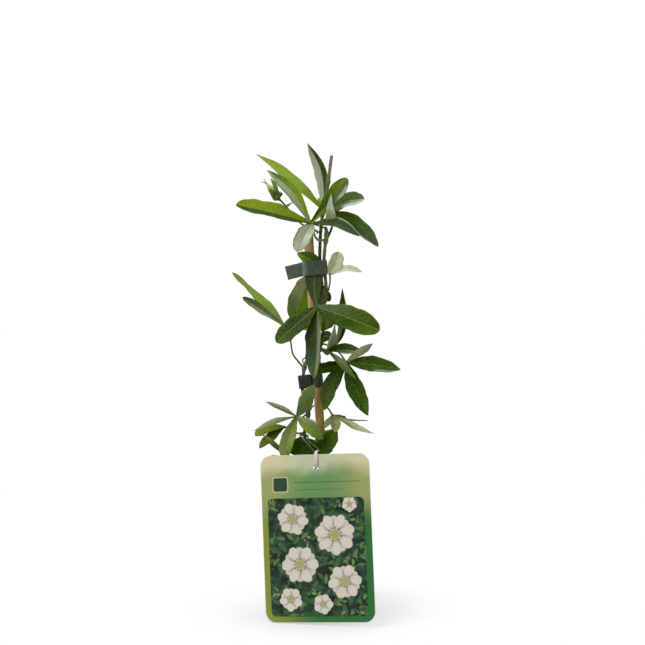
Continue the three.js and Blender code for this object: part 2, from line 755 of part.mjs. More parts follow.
const finish = (color, roughness, metalness = 0) =>
  new THREE.MeshStandardMaterial({ color, roughness, metalness });
const FINISH = {
  pot: finish("#22252a", 0.55),
  soil: finish("#3a2a1e", 1),
  bamboo: finish("#b58d52", 0.6),
  tape: finish("#35433d", 0.45),
  card: finish("#9fb860", 0.35),
  tie: finish("#e4e0d6", 0.6),
  bark: finish("#5f5a46", 0.75),
  shoot: finish("#78954a", 0.6),
  blade: finish("#4b7229", 0.45),
  palmatePale: finish("#9db086", 0.5),
  bud: finish("#8aa356", 0.5),
};
const PALE_LEAVES = new Set(["leaf_pale_right", "leaf_low_right"]);

const vine = new THREE.Group();
vine.name = "passion_flower_vine";

function place(parent, name, geometry, material) {
  const mesh = new THREE.Mesh(geometry, material);
  mesh.name = name;
  parent.add(mesh);
  return mesh;
}

// A mesh made along Z is stood on a foot and turned towards a top.
function standAlong(mesh, foot, top) {
  mesh.position.set(...foot);
  mesh.quaternion.setFromUnitVectors(
    vector([0, 0, 1]),
    vector(top).sub(vector(foot)).normalize(),
  );
  mesh.updateMatrixWorld(true);
}

const caneLength = vector(CANE.top).distanceTo(vector(CANE.foot));
const cane = place(vine, "cane", caneGeometry(caneLength), FINISH.bamboo);
standAlong(cane, CANE.foot, CANE.top);

const caneHole = new THREE.CylinderGeometry(CANE.topRadius, CANE.topRadius, caneLength, CANE.sides)
  .rotateX(Math.PI / 2)
  .translate(0, 0, caneLength / 2 - GAP)
  .applyMatrix4(cane.matrixWorld);
const [stemFoot, stemRise] = MAIN_STEM.map(vector);
const stemHole = tube(
  [
    stemFoot.clone().add(vector([0, 0.02, -GAP])).toArray(),
    stemFoot.toArray(),
    stemRise.toArray(),
    stemRise.clone().add(vector([0, 0, 4])).toArray(),
  ],
  STEM_RADIUS + 2 * GAP,
  8,
  8,
);

const pot = place(vine, "pot", potGeometry(), FINISH.pot);
pot.position.set(...POT.centre, 0);
place(vine, "soil", soilGeometry(caneHole, stemHole), FINISH.soil);

for (const [name, clip, geometry] of [
  ["clip_upper", UPPER_CLIP, upperClipGeometry()],
  ["clip_lower", LOWER_CLIP, lowerClipGeometry()],
]) {
  const mesh = place(vine, name, geometry, FINISH.tape);
  mesh.position.set(...clip.middle);
  mesh.rotation.y = THREE.MathUtils.degToRad(clip.tilt);
}

const cardGroup = cardFrame();
vine.add(cardGroup);
place(cardGroup, "label_card", cardGeometry(), FINISH.card);
place(vine, "label_tie", tieGeometry(cardGroup), FINISH.tie);

place(vine, "stem_main", stemGeometry(), FINISH.bark);
place(vine, "stem_side_shoot", shootGeometry(), FINISH.shoot);
place(vine, "flower_bud", budGeometry(), FINISH.bud);
for (const [name, leaf] of Object.entries(LEAVES))
  place(vine, name, leafGeometry(leaf), PALE_LEAVES.has(name) ? FINISH.palmatePale : FINISH.blade);

export default vine;
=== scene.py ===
"""A young passion flower vine on its bamboo cane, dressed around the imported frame.

Lengths in this file's tables are millimetres, and the finished objects are in metres.
"""

import math
import random
from typing import NamedTuple

import bmesh
import bpy
import numpy as np
from bpy.props import FloatProperty, FloatVectorProperty, IntProperty, PointerProperty
from bpy.types import Operator, Panel, PropertyGroup
from mathutils import Matrix, Vector, noise


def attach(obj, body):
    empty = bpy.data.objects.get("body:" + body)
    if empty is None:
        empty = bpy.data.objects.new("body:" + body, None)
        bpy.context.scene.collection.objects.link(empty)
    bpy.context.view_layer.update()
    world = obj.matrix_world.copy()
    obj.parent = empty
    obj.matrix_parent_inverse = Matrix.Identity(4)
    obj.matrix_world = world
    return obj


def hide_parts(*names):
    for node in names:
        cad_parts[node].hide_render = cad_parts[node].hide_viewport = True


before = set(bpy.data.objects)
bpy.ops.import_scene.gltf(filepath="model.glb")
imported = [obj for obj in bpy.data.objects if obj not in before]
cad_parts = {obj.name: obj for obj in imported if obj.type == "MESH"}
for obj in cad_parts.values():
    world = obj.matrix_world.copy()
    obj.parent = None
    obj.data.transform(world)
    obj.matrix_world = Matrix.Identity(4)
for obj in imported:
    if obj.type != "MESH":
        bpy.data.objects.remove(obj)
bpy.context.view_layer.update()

bl_info = {
    "name": "Passion Flower Vine",
    "version": (1, 0, 0),
    "blender": (4, 5, 0),
    "location": "View3D > Sidebar > Vine",
    "description": "Builds a potted passion flower vine on its cane, with its label card",
    "category": "Add Mesh",
}

MM = 0.001
ROOT = "root"

# ---------------------------------------------------------------- sizes shared with the frame

POT = {
    "centre": (-3, -6),
    "height": 80,
    "base_radius": 30.5,
    "wall_radius": 39.6,
    "rim_radius": 42.5,
    "rim_height": 8,
    "rim_wall": 2.5,
    "wall": 1.3,
    "floor": 3,
    "drain_radius": 3,
    "drain_circle": 21,
    "drain_holes": 6,
}
SOIL = {"surface": 71.5, "mound": 1.5}

CANE = {
    "foot": (9.3, 0, 8),
    "top": (-9.8, 0, 317.8),
    "foot_radius": 3.45,
    "top_radius": 4.05,
    "joints": (0.08, 0.37, 0.665),
}

CARD = {
    "width": 92,
    "height": 136,
    "thickness": 0.8,
    "corner": 9,
    "foot": (0.5, -59.5),
    "turn": -15,
    "lean": 5.5,
    "roll": 3.8,
    "lift": 0.1,
    "slot_across": 1.5,
    "slot_up": 125.5,
    "slot_width": 5.4,
    "slot_height": 2.6,
}
TIE = {"width": 3.1, "thickness": 0.6}
TAPE_THICKNESS = 0.62
# From a clip's outer size in to the middle of its tape.
TAPE_INSET = 0.4

UPPER_CLIP = {
    "middle": (-4, -1.5, 288.7),
    "height": 12.3,
    "tilt": -5,
    "band": (-11, 10.4, -7.6, 7.6, 2.6),
    "tail": ((-10, -1), (-24.6, 2.4)),
    "tail_droop": -9,
}
LOWER_CLIP = {
    "middle": (0, 0, 194.6),
    "height": 10.9,
    "tilt": -7,
    "cane_x": -2.25,
    "ring": 4.95,
    "loop": (-18.3, -7.2, -4.6, 4.4, 1.6),
}

MAIN_STEM = [
    (-8, 1, 52), (-8.4, 0, 90), (-10.5, -1, 118), (-12, -2, 139), (-13, -2.4, 150),
    (-10, -2.8, 166), (-14.6, -1, 184.6), (-14.3, 0, 194), (-13.2, 1.4, 205),
    (-10.5, 5.6, 211.5), (-5, 8.2, 214.6), (-0.7, 7.2, 218), (0.6, 4.6, 224), (2, 2.6, 231),
    (3.2, 1, 240), (3.4, 0.2, 252), (2.2, 0.4, 270), (0, 0.6, 291), (0.2, 0.8, 312),
    (1.7, 1, 330), (5, 1, 349), (7, 1, 362), (9.7, 1, 382.3),
]
STEM_KNUCKLES = [
    (-12.2, -2, 139.4), (-10, -2.8, 166), (-13.2, 1.4, 204.6), (1, 4, 225.4),
    (3.4, 0.2, 252), (2.6, 1, 335), (7, 1, 361),
]
# Tones from the foot of the main stem to its top. The deep green stretch partway up is painted shade.
STEM_TONES = (
    "stalk_brown stalk_brown stalk_brown stalk_brown stalk_dark stalk_dark stalk_green deep "
    "stalk_dark bark bark bark bark_light"
)
STEM_TENDRIL = [
    (-13.2, 0.6, 204.6), (-13.4, -2, 207.4), (-11.2, -3.4, 211), (-12.4, -4, 213.4),
    (-14.6, -3.6, 211.6), (-13.6, -3, 208.6), (-11.4, -2.8, 206.6),
]
SIDE_SHOOT = [
    (5.2, -1.4, 263), (4.9, -2.2, 275), (3.6, -2.4, 289), (3.4, -2.6, 297),
    (4.2, -2.7, 307), (5.6, -3, 318), (4.6, -4, 322.5),
]
SHOOT_KNUCKLE = (4.8, -2.8, 311.5)
THIN_STALK = [
    (5, -2.7, 311.5), (8.6, 2.4, 319), (11.4, 10.4, 327), (14.6, 12.6, 336),
    (18, 12, 346), (20.6, 11, 356),
]
SHOOT_TENDRIL = [
    (4.4, -3.2, 311.8), (2.3, -4.6, 312.1), (-1.2, -5.6, 312), (-3.8, -6.2, 314.6),
    (-5, -6.4, 318), (-4.2, -5.6, 320.2), (-2.2, -5.2, 319.4), (-2.4, -5.8, 317.4),
]
STEM_RADIUS = 1.15
SHOOT_RADIUS = 1.1
PETIOLE_RADIUS = 0.75
TENDRIL_RADIUS = 0.45

BUD = {
    "stalk": [
        (-0.5, -0.45, 318.6), (-8, -3, 321.6), (-16, -3, 326), (-25.3, -2.4, 336.5),
        (-32.6, -2.2, 344.8), (-34.8, -2.2, 346.4),
    ],
    "base": (-34.8, -2.2, 346.4),
    "tip": (-44.2, -2.6, 358.8),
    "radius": 3.7,
    # Shares of the length, and of the radius.
    "outline": [
        (0, 0.45), (0.06, 0.85), (0.16, 1.06), (0.3, 1), (0.45, 0.84), (0.66, 0.78), (0.82, 0.58),
        (0.94, 0.36), (1, 0.1),
    ],
    "awns": [(-48.8, -4, 360.8), (-46.5, -2, 362.7)],
    "bract_tips": [(-42.2, -5.4, 355), (-36.6, -5.6, 353.7), (-41.3, -1, 363.9)],
    "bract_widths": (5, 5.2, 4),
    "bract_tones": (
        "dusk leaf leaf, ivy leaf dusk", "dusk leaf leaf, ivy leaf dusk",
        "leaf meadow meadow, turf fresh meadow",
    ),
    "knob": (-32.9, -1.6, 350.4),
    "knob_radius": 1.8,
}

# How far apart the side veins leave a midrib.
VEIN_PITCH = 5.0
# From one rib of the tape's weave to the next.
TAPE_RIBS = 0.6
# Round the heart of a printed blossom.
HEART_DOTS = 11
# The cane's side that is painted lighter, as painted light, in degrees round it.
PAINTED_LIGHT_SIDE = 205

# ---------------------------------------------------------------- the studio, in metres

# Each lamp's name, place, size and watts.
LAMPS = (
    ("key", (-0.8, -0.9, 1.15), 1.4, 15),
    ("top", (0.1, 0.25, 1.5), 1.3, 9),
    ("fill", (1.0, -0.8, 0.6), 0.9, 2.5),
)
LAMP_AIM = (0, 0, 0.2)
# The lens and the sensor are in millimetres, and the tilt is in degrees.
CAMERA = {"place": (0.0021, -1.278, 0.3099), "tilt": 87, "lens": 85, "sensor": 36}

# ---------------------------------------------------------------- colours

PALETTE = {
    "lime": "#7f9c16",
    "limelight": "#8bab36",
    "rust": "#7a741f",
    "olive": "#56780c",
    "vivid": "#6f8e18",
    "fresh": "#668a2a",
    "meadow": "#708838",
    "grass": "#3f5f17",
    "turf": "#476818",
    "leaf": "#49642c",
    "deep": "#2b4c0b",
    "night": "#1d3707",
    "ivy": "#2d461e",
    "bottle": "#314627",
    "slate": "#35472f",
    "dusk": "#445826",
    "fern": "#506839",
    "steel": "#4e614c",
    "mist": "#556a4c",
    "teal": "#516a55",
    "spring": "#7d9056",
    "sage": "#6b7f50",
    "willow": "#6f7d59",
    "ash": "#8b9683",
    "celadon": "#9db18c",
    "pale": "#a9b39e",
    "cream": "#bcc695",
    "pearl": "#c6ccb4",
    "silver": "#d6dbd4",
    "milk": "#dfe8bd",
    "moss": "#6c792b",
    "mud": "#545f0f",
    "stalk_green": "#79853a",
    "stalk_brown": "#5b5330",
    "stalk_dark": "#3a4020",
    "bark": "#5a5a3d",
    "bark_light": "#8d8c6d",
    "shoot": "#6f8a45",
    "curl": "#a9ad5c",
    "petal": "#bcbb62",
}


def linear(code):
    """A colour code as linear red, green and blue."""
    parts = [int(code[i : i + 2], 16) / 255 for i in (1, 3, 5)]
    return tuple(c / 12.92 if c <= 0.04045 else ((c + 0.055) / 1.055) ** 2.4 for c in parts)


def colour(code):
    return (*linear(code), 1.0)


TONES = {name: np.array(linear(code)) for name, code in PALETTE.items()}

# ---------------------------------------------------------------- leaves


class Lobe(NamedTuple):
    """One lobe of a leaf: the midrib's points after the hub, the width across both halves,
    the way its upper face looks, how far the halves fold up, the outline, and the tones of
    the clockwise half and, after the comma, of the other one, at the hub, halfway and at the tip.
    Beside each leaf's own greens, the tones hold painted light: many of the pale greys, silvers
    and creams are painted sheen and highlights, and the bright yellow-greens on the crown are
    painted light shining through the blade.
    rib draws the midrib light at 1, dark at 0 and not at all at a half. Each rim is a half's
    sign, the shares of the length where it starts and ends, its colour and its width as a
    share of the half; the rims in pale greys and silvers are painted highlights and reflections
    along the margin, and some brighter green rims are painted highlights too. start replaces
    the hub as the midrib's first point."""

    midrib: list
    width: float
    face: tuple
    fold: float = 12
    outline: str = "lance"
    tones: str = "leaf leaf leaf, leaf leaf leaf"
    rib: float = 0.7
    rims: tuple = ()
    start: tuple = None


class Leaf(NamedTuple):
    stalk: list
    hub: tuple
    lobes: list
    stalk_tone: str = "stalk_green"
    hub_tone: str = "fern"


FRONT_UP = (0, -0.75, 0.66)

# Shares of a lobe's length, and of its greatest half width.
OUTLINES = {
    "lance": [
        (0, 0.16), (0.12, 0.42), (0.3, 0.8), (0.5, 1), (0.7, 0.93), (0.88, 0.56), (0.96, 0.28), (1, 0.03)],
    "long": [
        (0, 0.15), (0.12, 0.38), (0.3, 0.76), (0.5, 1), (0.7, 0.88), (0.88, 0.45), (0.96, 0.17), (1, 0.02)],
    "point": [
        (0, 0.16), (0.12, 0.42), (0.3, 0.82), (0.5, 1), (0.68, 0.9), (0.84, 0.58), (0.93, 0.3),
        (0.98, 0.12), (1, 0.02),
    ],
    "blunt": [
        (0, 0.16), (0.12, 0.42), (0.3, 0.78), (0.5, 1), (0.74, 0.97), (0.9, 0.7), (0.97, 0.4), (1, 0.05)],
    "round": [
        (0, 0.2), (0.12, 0.6), (0.3, 0.93), (0.5, 1), (0.72, 0.96), (0.9, 0.66), (0.97, 0.36), (1, 0.05)],
    "broad": [
        (0, 0.4), (0.1, 0.75), (0.28, 1), (0.5, 0.98), (0.72, 0.84), (0.88, 0.5), (0.96, 0.24), (1, 0.03)],
    "wedge": [(0, 0.9), (0.1, 1), (0.34, 0.8), (0.6, 0.5), (0.8, 0.28), (1, 0.02)],
    "sail": [(0, 0.3), (0.12, 0.8), (0.28, 1), (0.45, 0.82), (0.6, 0.56), (0.8, 0.3), (1, 0.05)],
    "waisted": [
        (0, 0.2), (0.12, 0.6), (0.25, 0.9), (0.38, 1), (0.5, 0.86), (0.64, 0.54), (0.74, 0.44),
        (0.84, 0.52), (0.93, 0.42), (1, 0.03),
    ],
    "club": [
        (0, 0.16), (0.15, 0.34), (0.35, 0.62), (0.6, 1), (0.78, 0.98), (0.92, 0.66), (0.98, 0.36), (1, 0.05)],
}

# Each leaf's lobes; their tones and rims paint sheen, highlights and light through the blade beside the
# leaf's own greens.
LEAVES = {
    "leaf_crown_front": Leaf([(3.84, -5.12, 322.24), (0, -8, 323.6)], (-7.6, -9, 326), [
        Lobe([(-40.8, -16, 334.7), (-69.4, -20, 341)], 18.2, FRONT_UP, 25, "blunt",
             "olive lime lime, ivy ivy deep", 0.4, ((1, 0.1, 0.97, "rust", 0.07), (-1, 0.6, 1, "moss", 0.1))),
        Lobe([(-22.2, -10, 351.2), (-44.1, -7, 370.4)], 11, (-0.3, -0.9, 0.3), 16, "long",
             "vivid lime teal, spring celadon celadon", 0.8, ((-1, 0.3, 0.95, "sage", 0.15),)),
        Lobe([(8.2, -13, 344.8), (22.6, -14, 363.2)], 13.5, (0.3, -0.8, 0.5), 16, "club",
             "vivid leaf mist, night turf lime", 0.6,
             ((1, 0.58, 0.93, "pale", 0.45), (-1, 0.75, 1, "leaf", 0.4))),
        Lobe([(11, -15.5, 326.4), (20.7, -17.5, 322.6), (32.7, -20, 315.2)], 13.6, (0, -0.62, 0.78), 10,
             "long", "bottle ivy bottle, bottle bottle slate", 0.35,
             ((1, 0.3, 1, "pale", 0.12), (-1, 0.42, 1, "pale", 0.2))),
        Lobe([(-12.8, -24, 315), (-18.8, -36, 302.4)], 14.6, (0, -0.7, 0.72), 14, "round",
             "ash ash pale, willow pearl ash", 0.15,
             ((1, 0.02, 0.95, "mist", 0.14), (-1, 0.25, 1, "ash", 0.15))),
        Lobe([(8.3, -15.4, 338), (9.2, -15.2, 350.3)], 9, (0.2, -0.97, 0.1), 12, "wedge",
             "spring pearl silver, spring pearl pearl", 0.5, ((1, 0.15, 1, "silver", 0.25),),
             (8.8, -14.4, 329.2)),
    ]),
    "leaf_crown_back": Leaf([(3.2, 3.1, 335.1)], (4.2, 7.5, 336.3), [
        Lobe([(-28.7, 12, 366.8), (-53.6, 12, 384.4)], 12.5, (0.2, -0.7, 0.7), 14, "long",
             "vivid limelight limelight, vivid lime limelight", 0.6,
             ((1, 0.1, 0.97, "rust", 0.08), (-1, 0.1, 0.97, "rust", 0.06))),
        Lobe([(0.8, 8.5, 370.6), (-10.6, 6, 393.4)], 12.6, (-0.35, -0.93, 0.1), 30, "long",
             "grass ivy bottle, milk pearl celadon", 0.55, ((1, 0.2, 0.9, "sage", 0.1),)),
        Lobe([(22, 3, 344.6), (37.1, 0, 346.6)], 16, (0, -0.8, 0.6), 16, "round",
             "dusk mist pale, grass dusk mist", 0.3, ((1, 0.4, 1, "silver", 0.45),)),
        Lobe([(28.7, 6, 326.4), (49.2, 4, 306.6)], 14.5, (0.3, -0.85, 0.4), 14, "lance",
             "bottle ivy steel, turf turf steel", 0.6, ((1, 0.4, 0.97, "ash", 0.16),)),
        Lobe([(4, 26, 345), (2, 44, 348)], 13, (0.1, 0.2, 1), 14, "lance",
             "olive fresh leaf, olive fresh leaf"),
    ]),
    "leaf_middle_front": Leaf([(3.55, -1.45, 246), (1.4, -7, 249.6)], (-2.6, -12, 256.6), [
        Lobe([(-4.7, -8, 271), (-5.2, -6.4, 285.2), (-7.6, -6.2, 294.8), (-19.2, -6.6, 301.4)], 15.4,
             (0, -1, 0.1), 6, "lance", "slate slate turf, slate slate vivid", 0.85),
        Lobe([(21.4, -20, 248.6), (49.2, -24, 237.6)], 21, (0, -0.95, 0.3), 10, "blunt",
             "slate deep turf, teal leaf deep", 0.9,
             ((-1, 0.3, 0.95, "fresh", 0.1), (1, 0.4, 0.98, "turf", 0.15))),
        Lobe([(-22.2, -20, 240), (-36, -24, 227.6)], 16, (-0.1, -0.95, 0.3), 12, "blunt",
             "slate slate grass, slate bottle grass", 0.9, ((1, 0.2, 0.95, "grass", 0.25),)),
        Lobe([(-2.2, -17, 226), (-4.6, -15, 197)], 22.4, (-0.76, -0.65, 0), 26, "lance",
             "ivy slate teal, mist ash spring", 0.8),
        Lobe([(2.2, -8.4, 263.4), (3.2, -6, 274.2)], 9, (0, -1, 0.1), 6, "broad",
             "slate slate dusk, slate slate slate", 0.5, (), (-2.5, -11.2, 257.4)),
    ]),
    "leaf_middle_back": Leaf([(3.37, 2.66, 241.66), (-3, 9, 243), (-9, 12, 240)], (-15.2, 13, 237.8), [
        Lobe([(-20, 13, 251.5), (-14.6, 13, 266), (-8, 12, 281.6)], 19.6, (-0.15, -0.97, 0.1), 12, "blunt",
             "turf olive turf, deep sage cream", 0.75, ((-1, 0.3, 0.9, "leaf", 0.12),)),
        Lobe([(-1.7, 15, 243.6), (12.8, 14.6, 243.6)], 18.4, (0, -1, 0.2), 8, "round",
             "lime lime olive, lime lime olive", 0.7),
        Lobe([(-15, 30, 246), (-17, 46, 252)], 13, (0, 0.1, 1), 12),
    ]),
    "leaf_far_left": Leaf([(-14.89, 1.96, 205.73), (-18, 4, 209.4), (-23, 7, 216), (-25.2, 8, 227.6)],
        (-30.3, 8, 239.4), [
        Lobe([(-52.3, 8, 263.4), (-74.2, 6, 285)], 10.4, (0.15, -0.8, 0.55), 12, "waisted",
             "spring limelight spring, sage limelight spring", 0.55, ((-1, 0.1, 0.6, "dusk", 0.25),)),
        Lobe([(-48, 3, 252.4), (-64.9, -2, 264)], 8.8, (0.1, -0.75, 0.65), 10, "club",
             "meadow mist slate, spring ash teal", 0.3),
        Lobe([(-30, 28, 240), (-28, 47, 237)], 12, (0, 0.15, 1), 12),
    ], "stalk_dark"),
    "leaf_pale_right": Leaf([(6.92, -2.67, 269.8), (8, -4.4, 275), (8.4, -5.6, 279)], (8.2, -6.4, 283.6), [
        Lobe([(13.4, -7.4, 293.4), (15.4, -6.6, 302.4)], 12, (0.15, -0.95, 0.2), 12, "round",
             "milk milk milk, cream cream cream", 0.3),
        Lobe([(21.9, -9, 288.2), (35.4, -11, 285.6)], 8.5, (0, -0.65, 0.75), 12, "long",
             "milk milk cream, milk milk cream", 0.3),
    ], "stalk_dark"),
    "leaf_lower_back": Leaf([(0.52, 7.85, 218.37)], (6.2, 9, 219), [
        Lobe([(9.9, 6.2, 230.7), (12.6, 6.2, 242)], 14.6, (0.75, -0.65, 0.1), 25, "sail",
             "limelight celadon cream, pearl silver silver", 0.45),
        Lobe([(14.8, 11, 226.6), (18.7, 12.6, 236.5), (19.4, 14, 252.8), (19, 14, 271.4)], 8,
             (-0.3, -0.9, 0.1), 12, "long", "deep night grass, pearl leaf grass", 0.5),
        Lobe([(21, 8, 219.6), (34.8, 5, 217.6)], 13, (0, -0.62, 0.78), 12, "lance",
             "deep leaf ash, deep deep grass", 0.5, ((1, 0.4, 1, "pale", 0.18),)),
        Lobe([(11, 0, 215.4), (17.4, -12, 209.4), (30, -17, 196.6)], 9.4, (0.45, -0.75, 0.5), 12, "long",
             "leaf leaf leaf, meadow willow leaf", 0.6),
        Lobe([(5.2, 0, 231.8), (0.8, -1, 226.8)], 8.6, (-0.1, -0.9, 0.4), 10, "round",
             "dusk leaf dusk, leaf grass leaf", 0.9, (), (8.4, 5.4, 228.8)),
        Lobe([(7, 28, 218), (6, 44, 212)], 12, (0, 0.2, 1), 12),
    ]),
    "leaf_right": Leaf(
        [(1.36, 6.14, 224.51), (5, 14.4, 223.4), (12, 15, 220), (16, 9.6, 217), (19.2, 1.6, 213.6)],
        (21.7, -6, 209.9), [
        Lobe([(32, -3, 215.8), (44.4, 2, 225)], 12, (-0.3, -0.5, 0.8), 14, "long",
             "sage sage willow, willow ash ash", 0.35),
        Lobe([(45.6, -10, 208), (67.2, -13, 204.2)], 15, (0, -0.85, 0.5), 14, "point",
             "night deep deep, night deep grass", 0.75, ((1, 0.5, 0.97, "ash", 0.36),)),
        Lobe([(28.8, -12, 189), (40, -16, 166)], 15.5, (0.2, -0.95, 0.2), 12, "point",
             "night deep deep, night deep turf", 0.6),
        Lobe([(8.2, -11, 189), (3.6, -14, 170.4)], 13.5, (-0.15, -0.95, 0.2), 12, "lance",
             "grass bottle dusk, night deep grass", 0.65),
        Lobe([(8.2, -8.6, 206), (-6.4, -8.8, 204)], 10, (0, -0.9, 0.4), 8, "blunt",
             "night night deep, night deep grass", 0.65),
    ], "stalk_brown"),
    "leaf_low_right": Leaf([(-8.94, -1.65, 168.57), (-5.6, 4.8, 172), (0, 7, 173.4), (6.3, 4.4, 170.4)],
        (10.5, -1.6, 165), [
        Lobe([(21, -5, 160), (32, -7, 154.4), (44.8, -8, 150.2)], 7.4, (0.2, -0.6, 0.75), 10, "long",
             "sage spring cream, spring cream cream", 0.45),
        Lobe([(22.8, 4, 160.4), (40.6, 6, 159.4)], 8.5, (0, 0.1, 1), 10, "long",
             "dusk moss willow, sage moss willow", 0.5),
        Lobe([(12.5, -12, 159.4), (12.4, -21, 152.8)], 9.5, (0.2, -0.5, 0.8), 14, "lance",
             "dusk sage sage, sage spring spring", 0.4),
        Lobe([(7.3, -8, 160), (4, -13, 155.4)], 7, (-0.3, -0.5, 0.8), 8, "lance",
             "celadon spring spring, spring spring sage", 0.4),
        Lobe([(16, 18, 161), (20, 32, 156)], 11, (0, 0.2, 1), 10, "lance", "sage leaf leaf, sage leaf leaf"),
    ], "limelight", "fresh"),
    "leaf_low_left": Leaf([(-11.84, -3.96, 165.61), (-15, -8.4, 164)], (-19.4, -12.4, 165), [
        Lobe([(-13.6, -13.4, 174), (-9.4, -13.4, 184), (-4.6, -13.4, 192)], 12.5, (0.1, -0.95, 0.3), 12,
             "point", "fern leaf sage, fern sage sage", 0.65, ((-1, 0.2, 0.9, "spring", 0.15),)),
        Lobe([(-30.6, -10, 170.4), (-45.4, -8, 176.9)], 7.4, (0, -0.45, 0.9), 12, "long",
             "fern ash ash, dusk leaf willow", 0.35),
        Lobe([(-37.5, -15, 160.9), (-55, -17, 153.6)], 6.6, (0, -0.6, 0.8), 14, "long",
             "leaf ash pale, dusk sage ash", 0.4),
        Lobe([(-24, -19, 154), (-27.8, -24, 141.8), (-30.2, -26.4, 128)], 12.4, (-0.2, -0.9, 0.35), 12,
             "lance", "dusk sage spring, turf spring turf", 0.6),
        Lobe([(-8.5, -19, 157.2), (2.5, -24, 147.2)], 12.2, (0.1, -0.9, 0.4), 12, "lance",
             "sage meadow turf, ash sage leaf", 0.6, ((-1, 0.1, 0.6, "pale", 0.15),)),
    ], "moss"),
    "leaf_low_far_left": Leaf([(-14.4, -2.6, 149.8), (-20, -3.6, 150)], (-29.8, -5, 155.4), [
        Lobe([(-43.8, -6, 153.8), (-54.6, -8, 148.4)], 10.4, (0, -0.65, 0.76), 12, "blunt",
             "moss moss lime, turf moss moss", 0.6),
        Lobe([(-40.8, -9, 147), (-50.8, -12, 138.3)], 11, (0, -0.5, 0.85), 14, "lance",
             "mud mud moss, deep turf mud", 0.6),
        Lobe([(-31, 10, 153), (-33, 26, 150)], 11, (0, 0.2, 1), 12),
    ], "moss"),
    "leaf_foot": Leaf([(-10.7, -3.1, 122.9), (-8, -6.6, 128)], (-4.2, -9.6, 132.8), [
        Lobe([(4.6, -12.6, 142.6), (14, -15.4, 154.8)], 17.6, (0.2, -0.85, 0.45), 12, "broad",
             "night grass turf, night deep turf", 0.6, ((-1, 0.2, 0.9, "vivid", 0.3),)),
        Lobe([(-13.8, -14, 138.4), (-27, -15.4, 137.2)], 19, (0, -0.85, 0.45), 12, "broad",
             "night deep deep, night deep deep", 0.6, ((1, 0.3, 0.9, "turf", 0.3),)),
        Lobe([(-7, -11.4, 139.4), (-10.6, -12, 146.4)], 11.5, (0.1, -0.9, 0.35), 12, "broad",
             "night night grass, night deep grass", 0.6),
    ]),
    "leaf_foot_left": Leaf([(-12.3, -0.23, 128), (-17, -1, 128.4)], (-24, -8, 129.6), [
        Lobe([(-37.2, -17, 140.8), (-48, -19.4, 151)], 7, (0.35, -0.6, 0.7), 12, "long",
             "moss moss spring, moss leaf sage", 0.4),
        Lobe([(-34, 6, 129), (-42, 18, 124)], 12, (0, 0.1, 1), 10),
    ]),
    "leaf_foot_back": Leaf([(-9.1, 0.9, 112), (-5.4, 6, 117)], (0, 10, 122), [
        Lobe([(14, 16, 124), (26, 18, 118)], 13, (0, -0.1, 1), 12),
        Lobe([(9, 24, 126), (18, 36, 121)], 13, (0, 0.1, 1), 12),
        Lobe([(-6, 24, 127), (-12, 40, 124)], 13, (0, 0.1, 1), 12),
    ]),
}
PALE_LEAVES = ("leaf_pale_right", "leaf_low_right")

# Each small blade of the side shoot: its lobe, where it starts, its seed and its steps along and across.
SHOOT_BLADES = (
    (Lobe([(6.9, -3.4, 265.4), (7.4, -4, 260.6)], 5, (0, -1, 0.15), 8, "round",
          "dusk deep deep, leaf deep deep"), (5.6, -2, 269.4), 5, 28, 7),
    (Lobe([(5.2, -5.4, 315.5), (5.7, -5, 322.4)], 4, (0, -1, 0.1), 14, "lance",
          "spring spring sage, spring sage sage"), (5.5, -5, 309.4), 6, 24, 6),
)
STALK_BRACT = Lobe([(-25, -3.2, 342.1), (-21.5, -3.4, 344.3)], 2.6, (0.3, -0.9, 0.3), 16, "wedge",
                   "sage cream cream, sage spring cream", 0.5)

# ---------------------------------------------------------------- settings for a user


class VineSizes(PropertyGroup):
    """Sizes of the finer surface, laid over the frame's own sizes."""

    blade_thickness: FloatProperty(
        name="Blade Thickness", description="Thickness of a leaf blade at its midrib",
        default=0.45 * MM, min=0.2 * MM, max=1 * MM, unit="LENGTH", precision=5)
    blade_wave: FloatProperty(
        name="Blade Wave", description="How far the edge of a blade waves up and down",
        default=0.45 * MM, min=0, max=2 * MM, unit="LENGTH", precision=5)
    soil_lumps: FloatProperty(
        name="Soil Lumps", description="Height of the lumps in the potting soil",
        default=1.2 * MM, min=0, max=3 * MM, unit="LENGTH", precision=5)
    soil_crumbs: IntProperty(
        name="Soil Crumbs", description="Number of loose crumbs on the soil",
        default=420, min=0, max=1500)
    floor_size: FloatProperty(
        name="Floor Size", description="Half the width of the studio floor",
        default=6.0, min=1, max=20, unit="LENGTH")


class VineColours(PropertyGroup):
    """Colours of the made things and of the studio."""

    bamboo: FloatVectorProperty(
        name="Bamboo", description="Main colour of the cane", subtype="COLOR",
        default=linear("#c9a45c"), min=0, max=1)
    pot: FloatVectorProperty(
        name="Pot", description="Colour of the moulded pot", subtype="COLOR",
        default=linear("#1d1f21"), min=0, max=1)
    soil: FloatVectorProperty(
        name="Soil", description="Main colour of the potting soil", subtype="COLOR",
        default=linear("#3a281b"), min=0, max=1)
    tape: FloatVectorProperty(
        name="Tape", description="Colour of the plant tape", subtype="COLOR",
        default=linear("#47533f"), min=0, max=1)
    tie: FloatVectorProperty(
        name="Tie", description="Colour of the label's tie", subtype="COLOR",
        default=linear("#dedad0"), min=0, max=1)
    card_light: FloatVectorProperty(
        name="Card Light", description="Pale tone at the top of the printed card", subtype="COLOR",
        default=linear("#dbe0ba"), min=0, max=1)
    card_dark: FloatVectorProperty(
        name="Card Dark", description="Deep tone at the foot of the printed card", subtype="COLOR",
        default=linear("#387c3d"), min=0, max=1)


# ---------------------------------------------------------------- lines and meshes


def unit(v):
    return v / np.linalg.norm(v, axis=-1, keepdims=True)


def angles(count):
    """Even angles round a full turn."""
    return np.arange(count) / count * 2 * math.pi


def lengths_along(points):
    """How far along a line of points each of them lies."""
    return np.concatenate([[0], np.cumsum(np.linalg.norm(np.diff(points, axis=0), axis=1))])


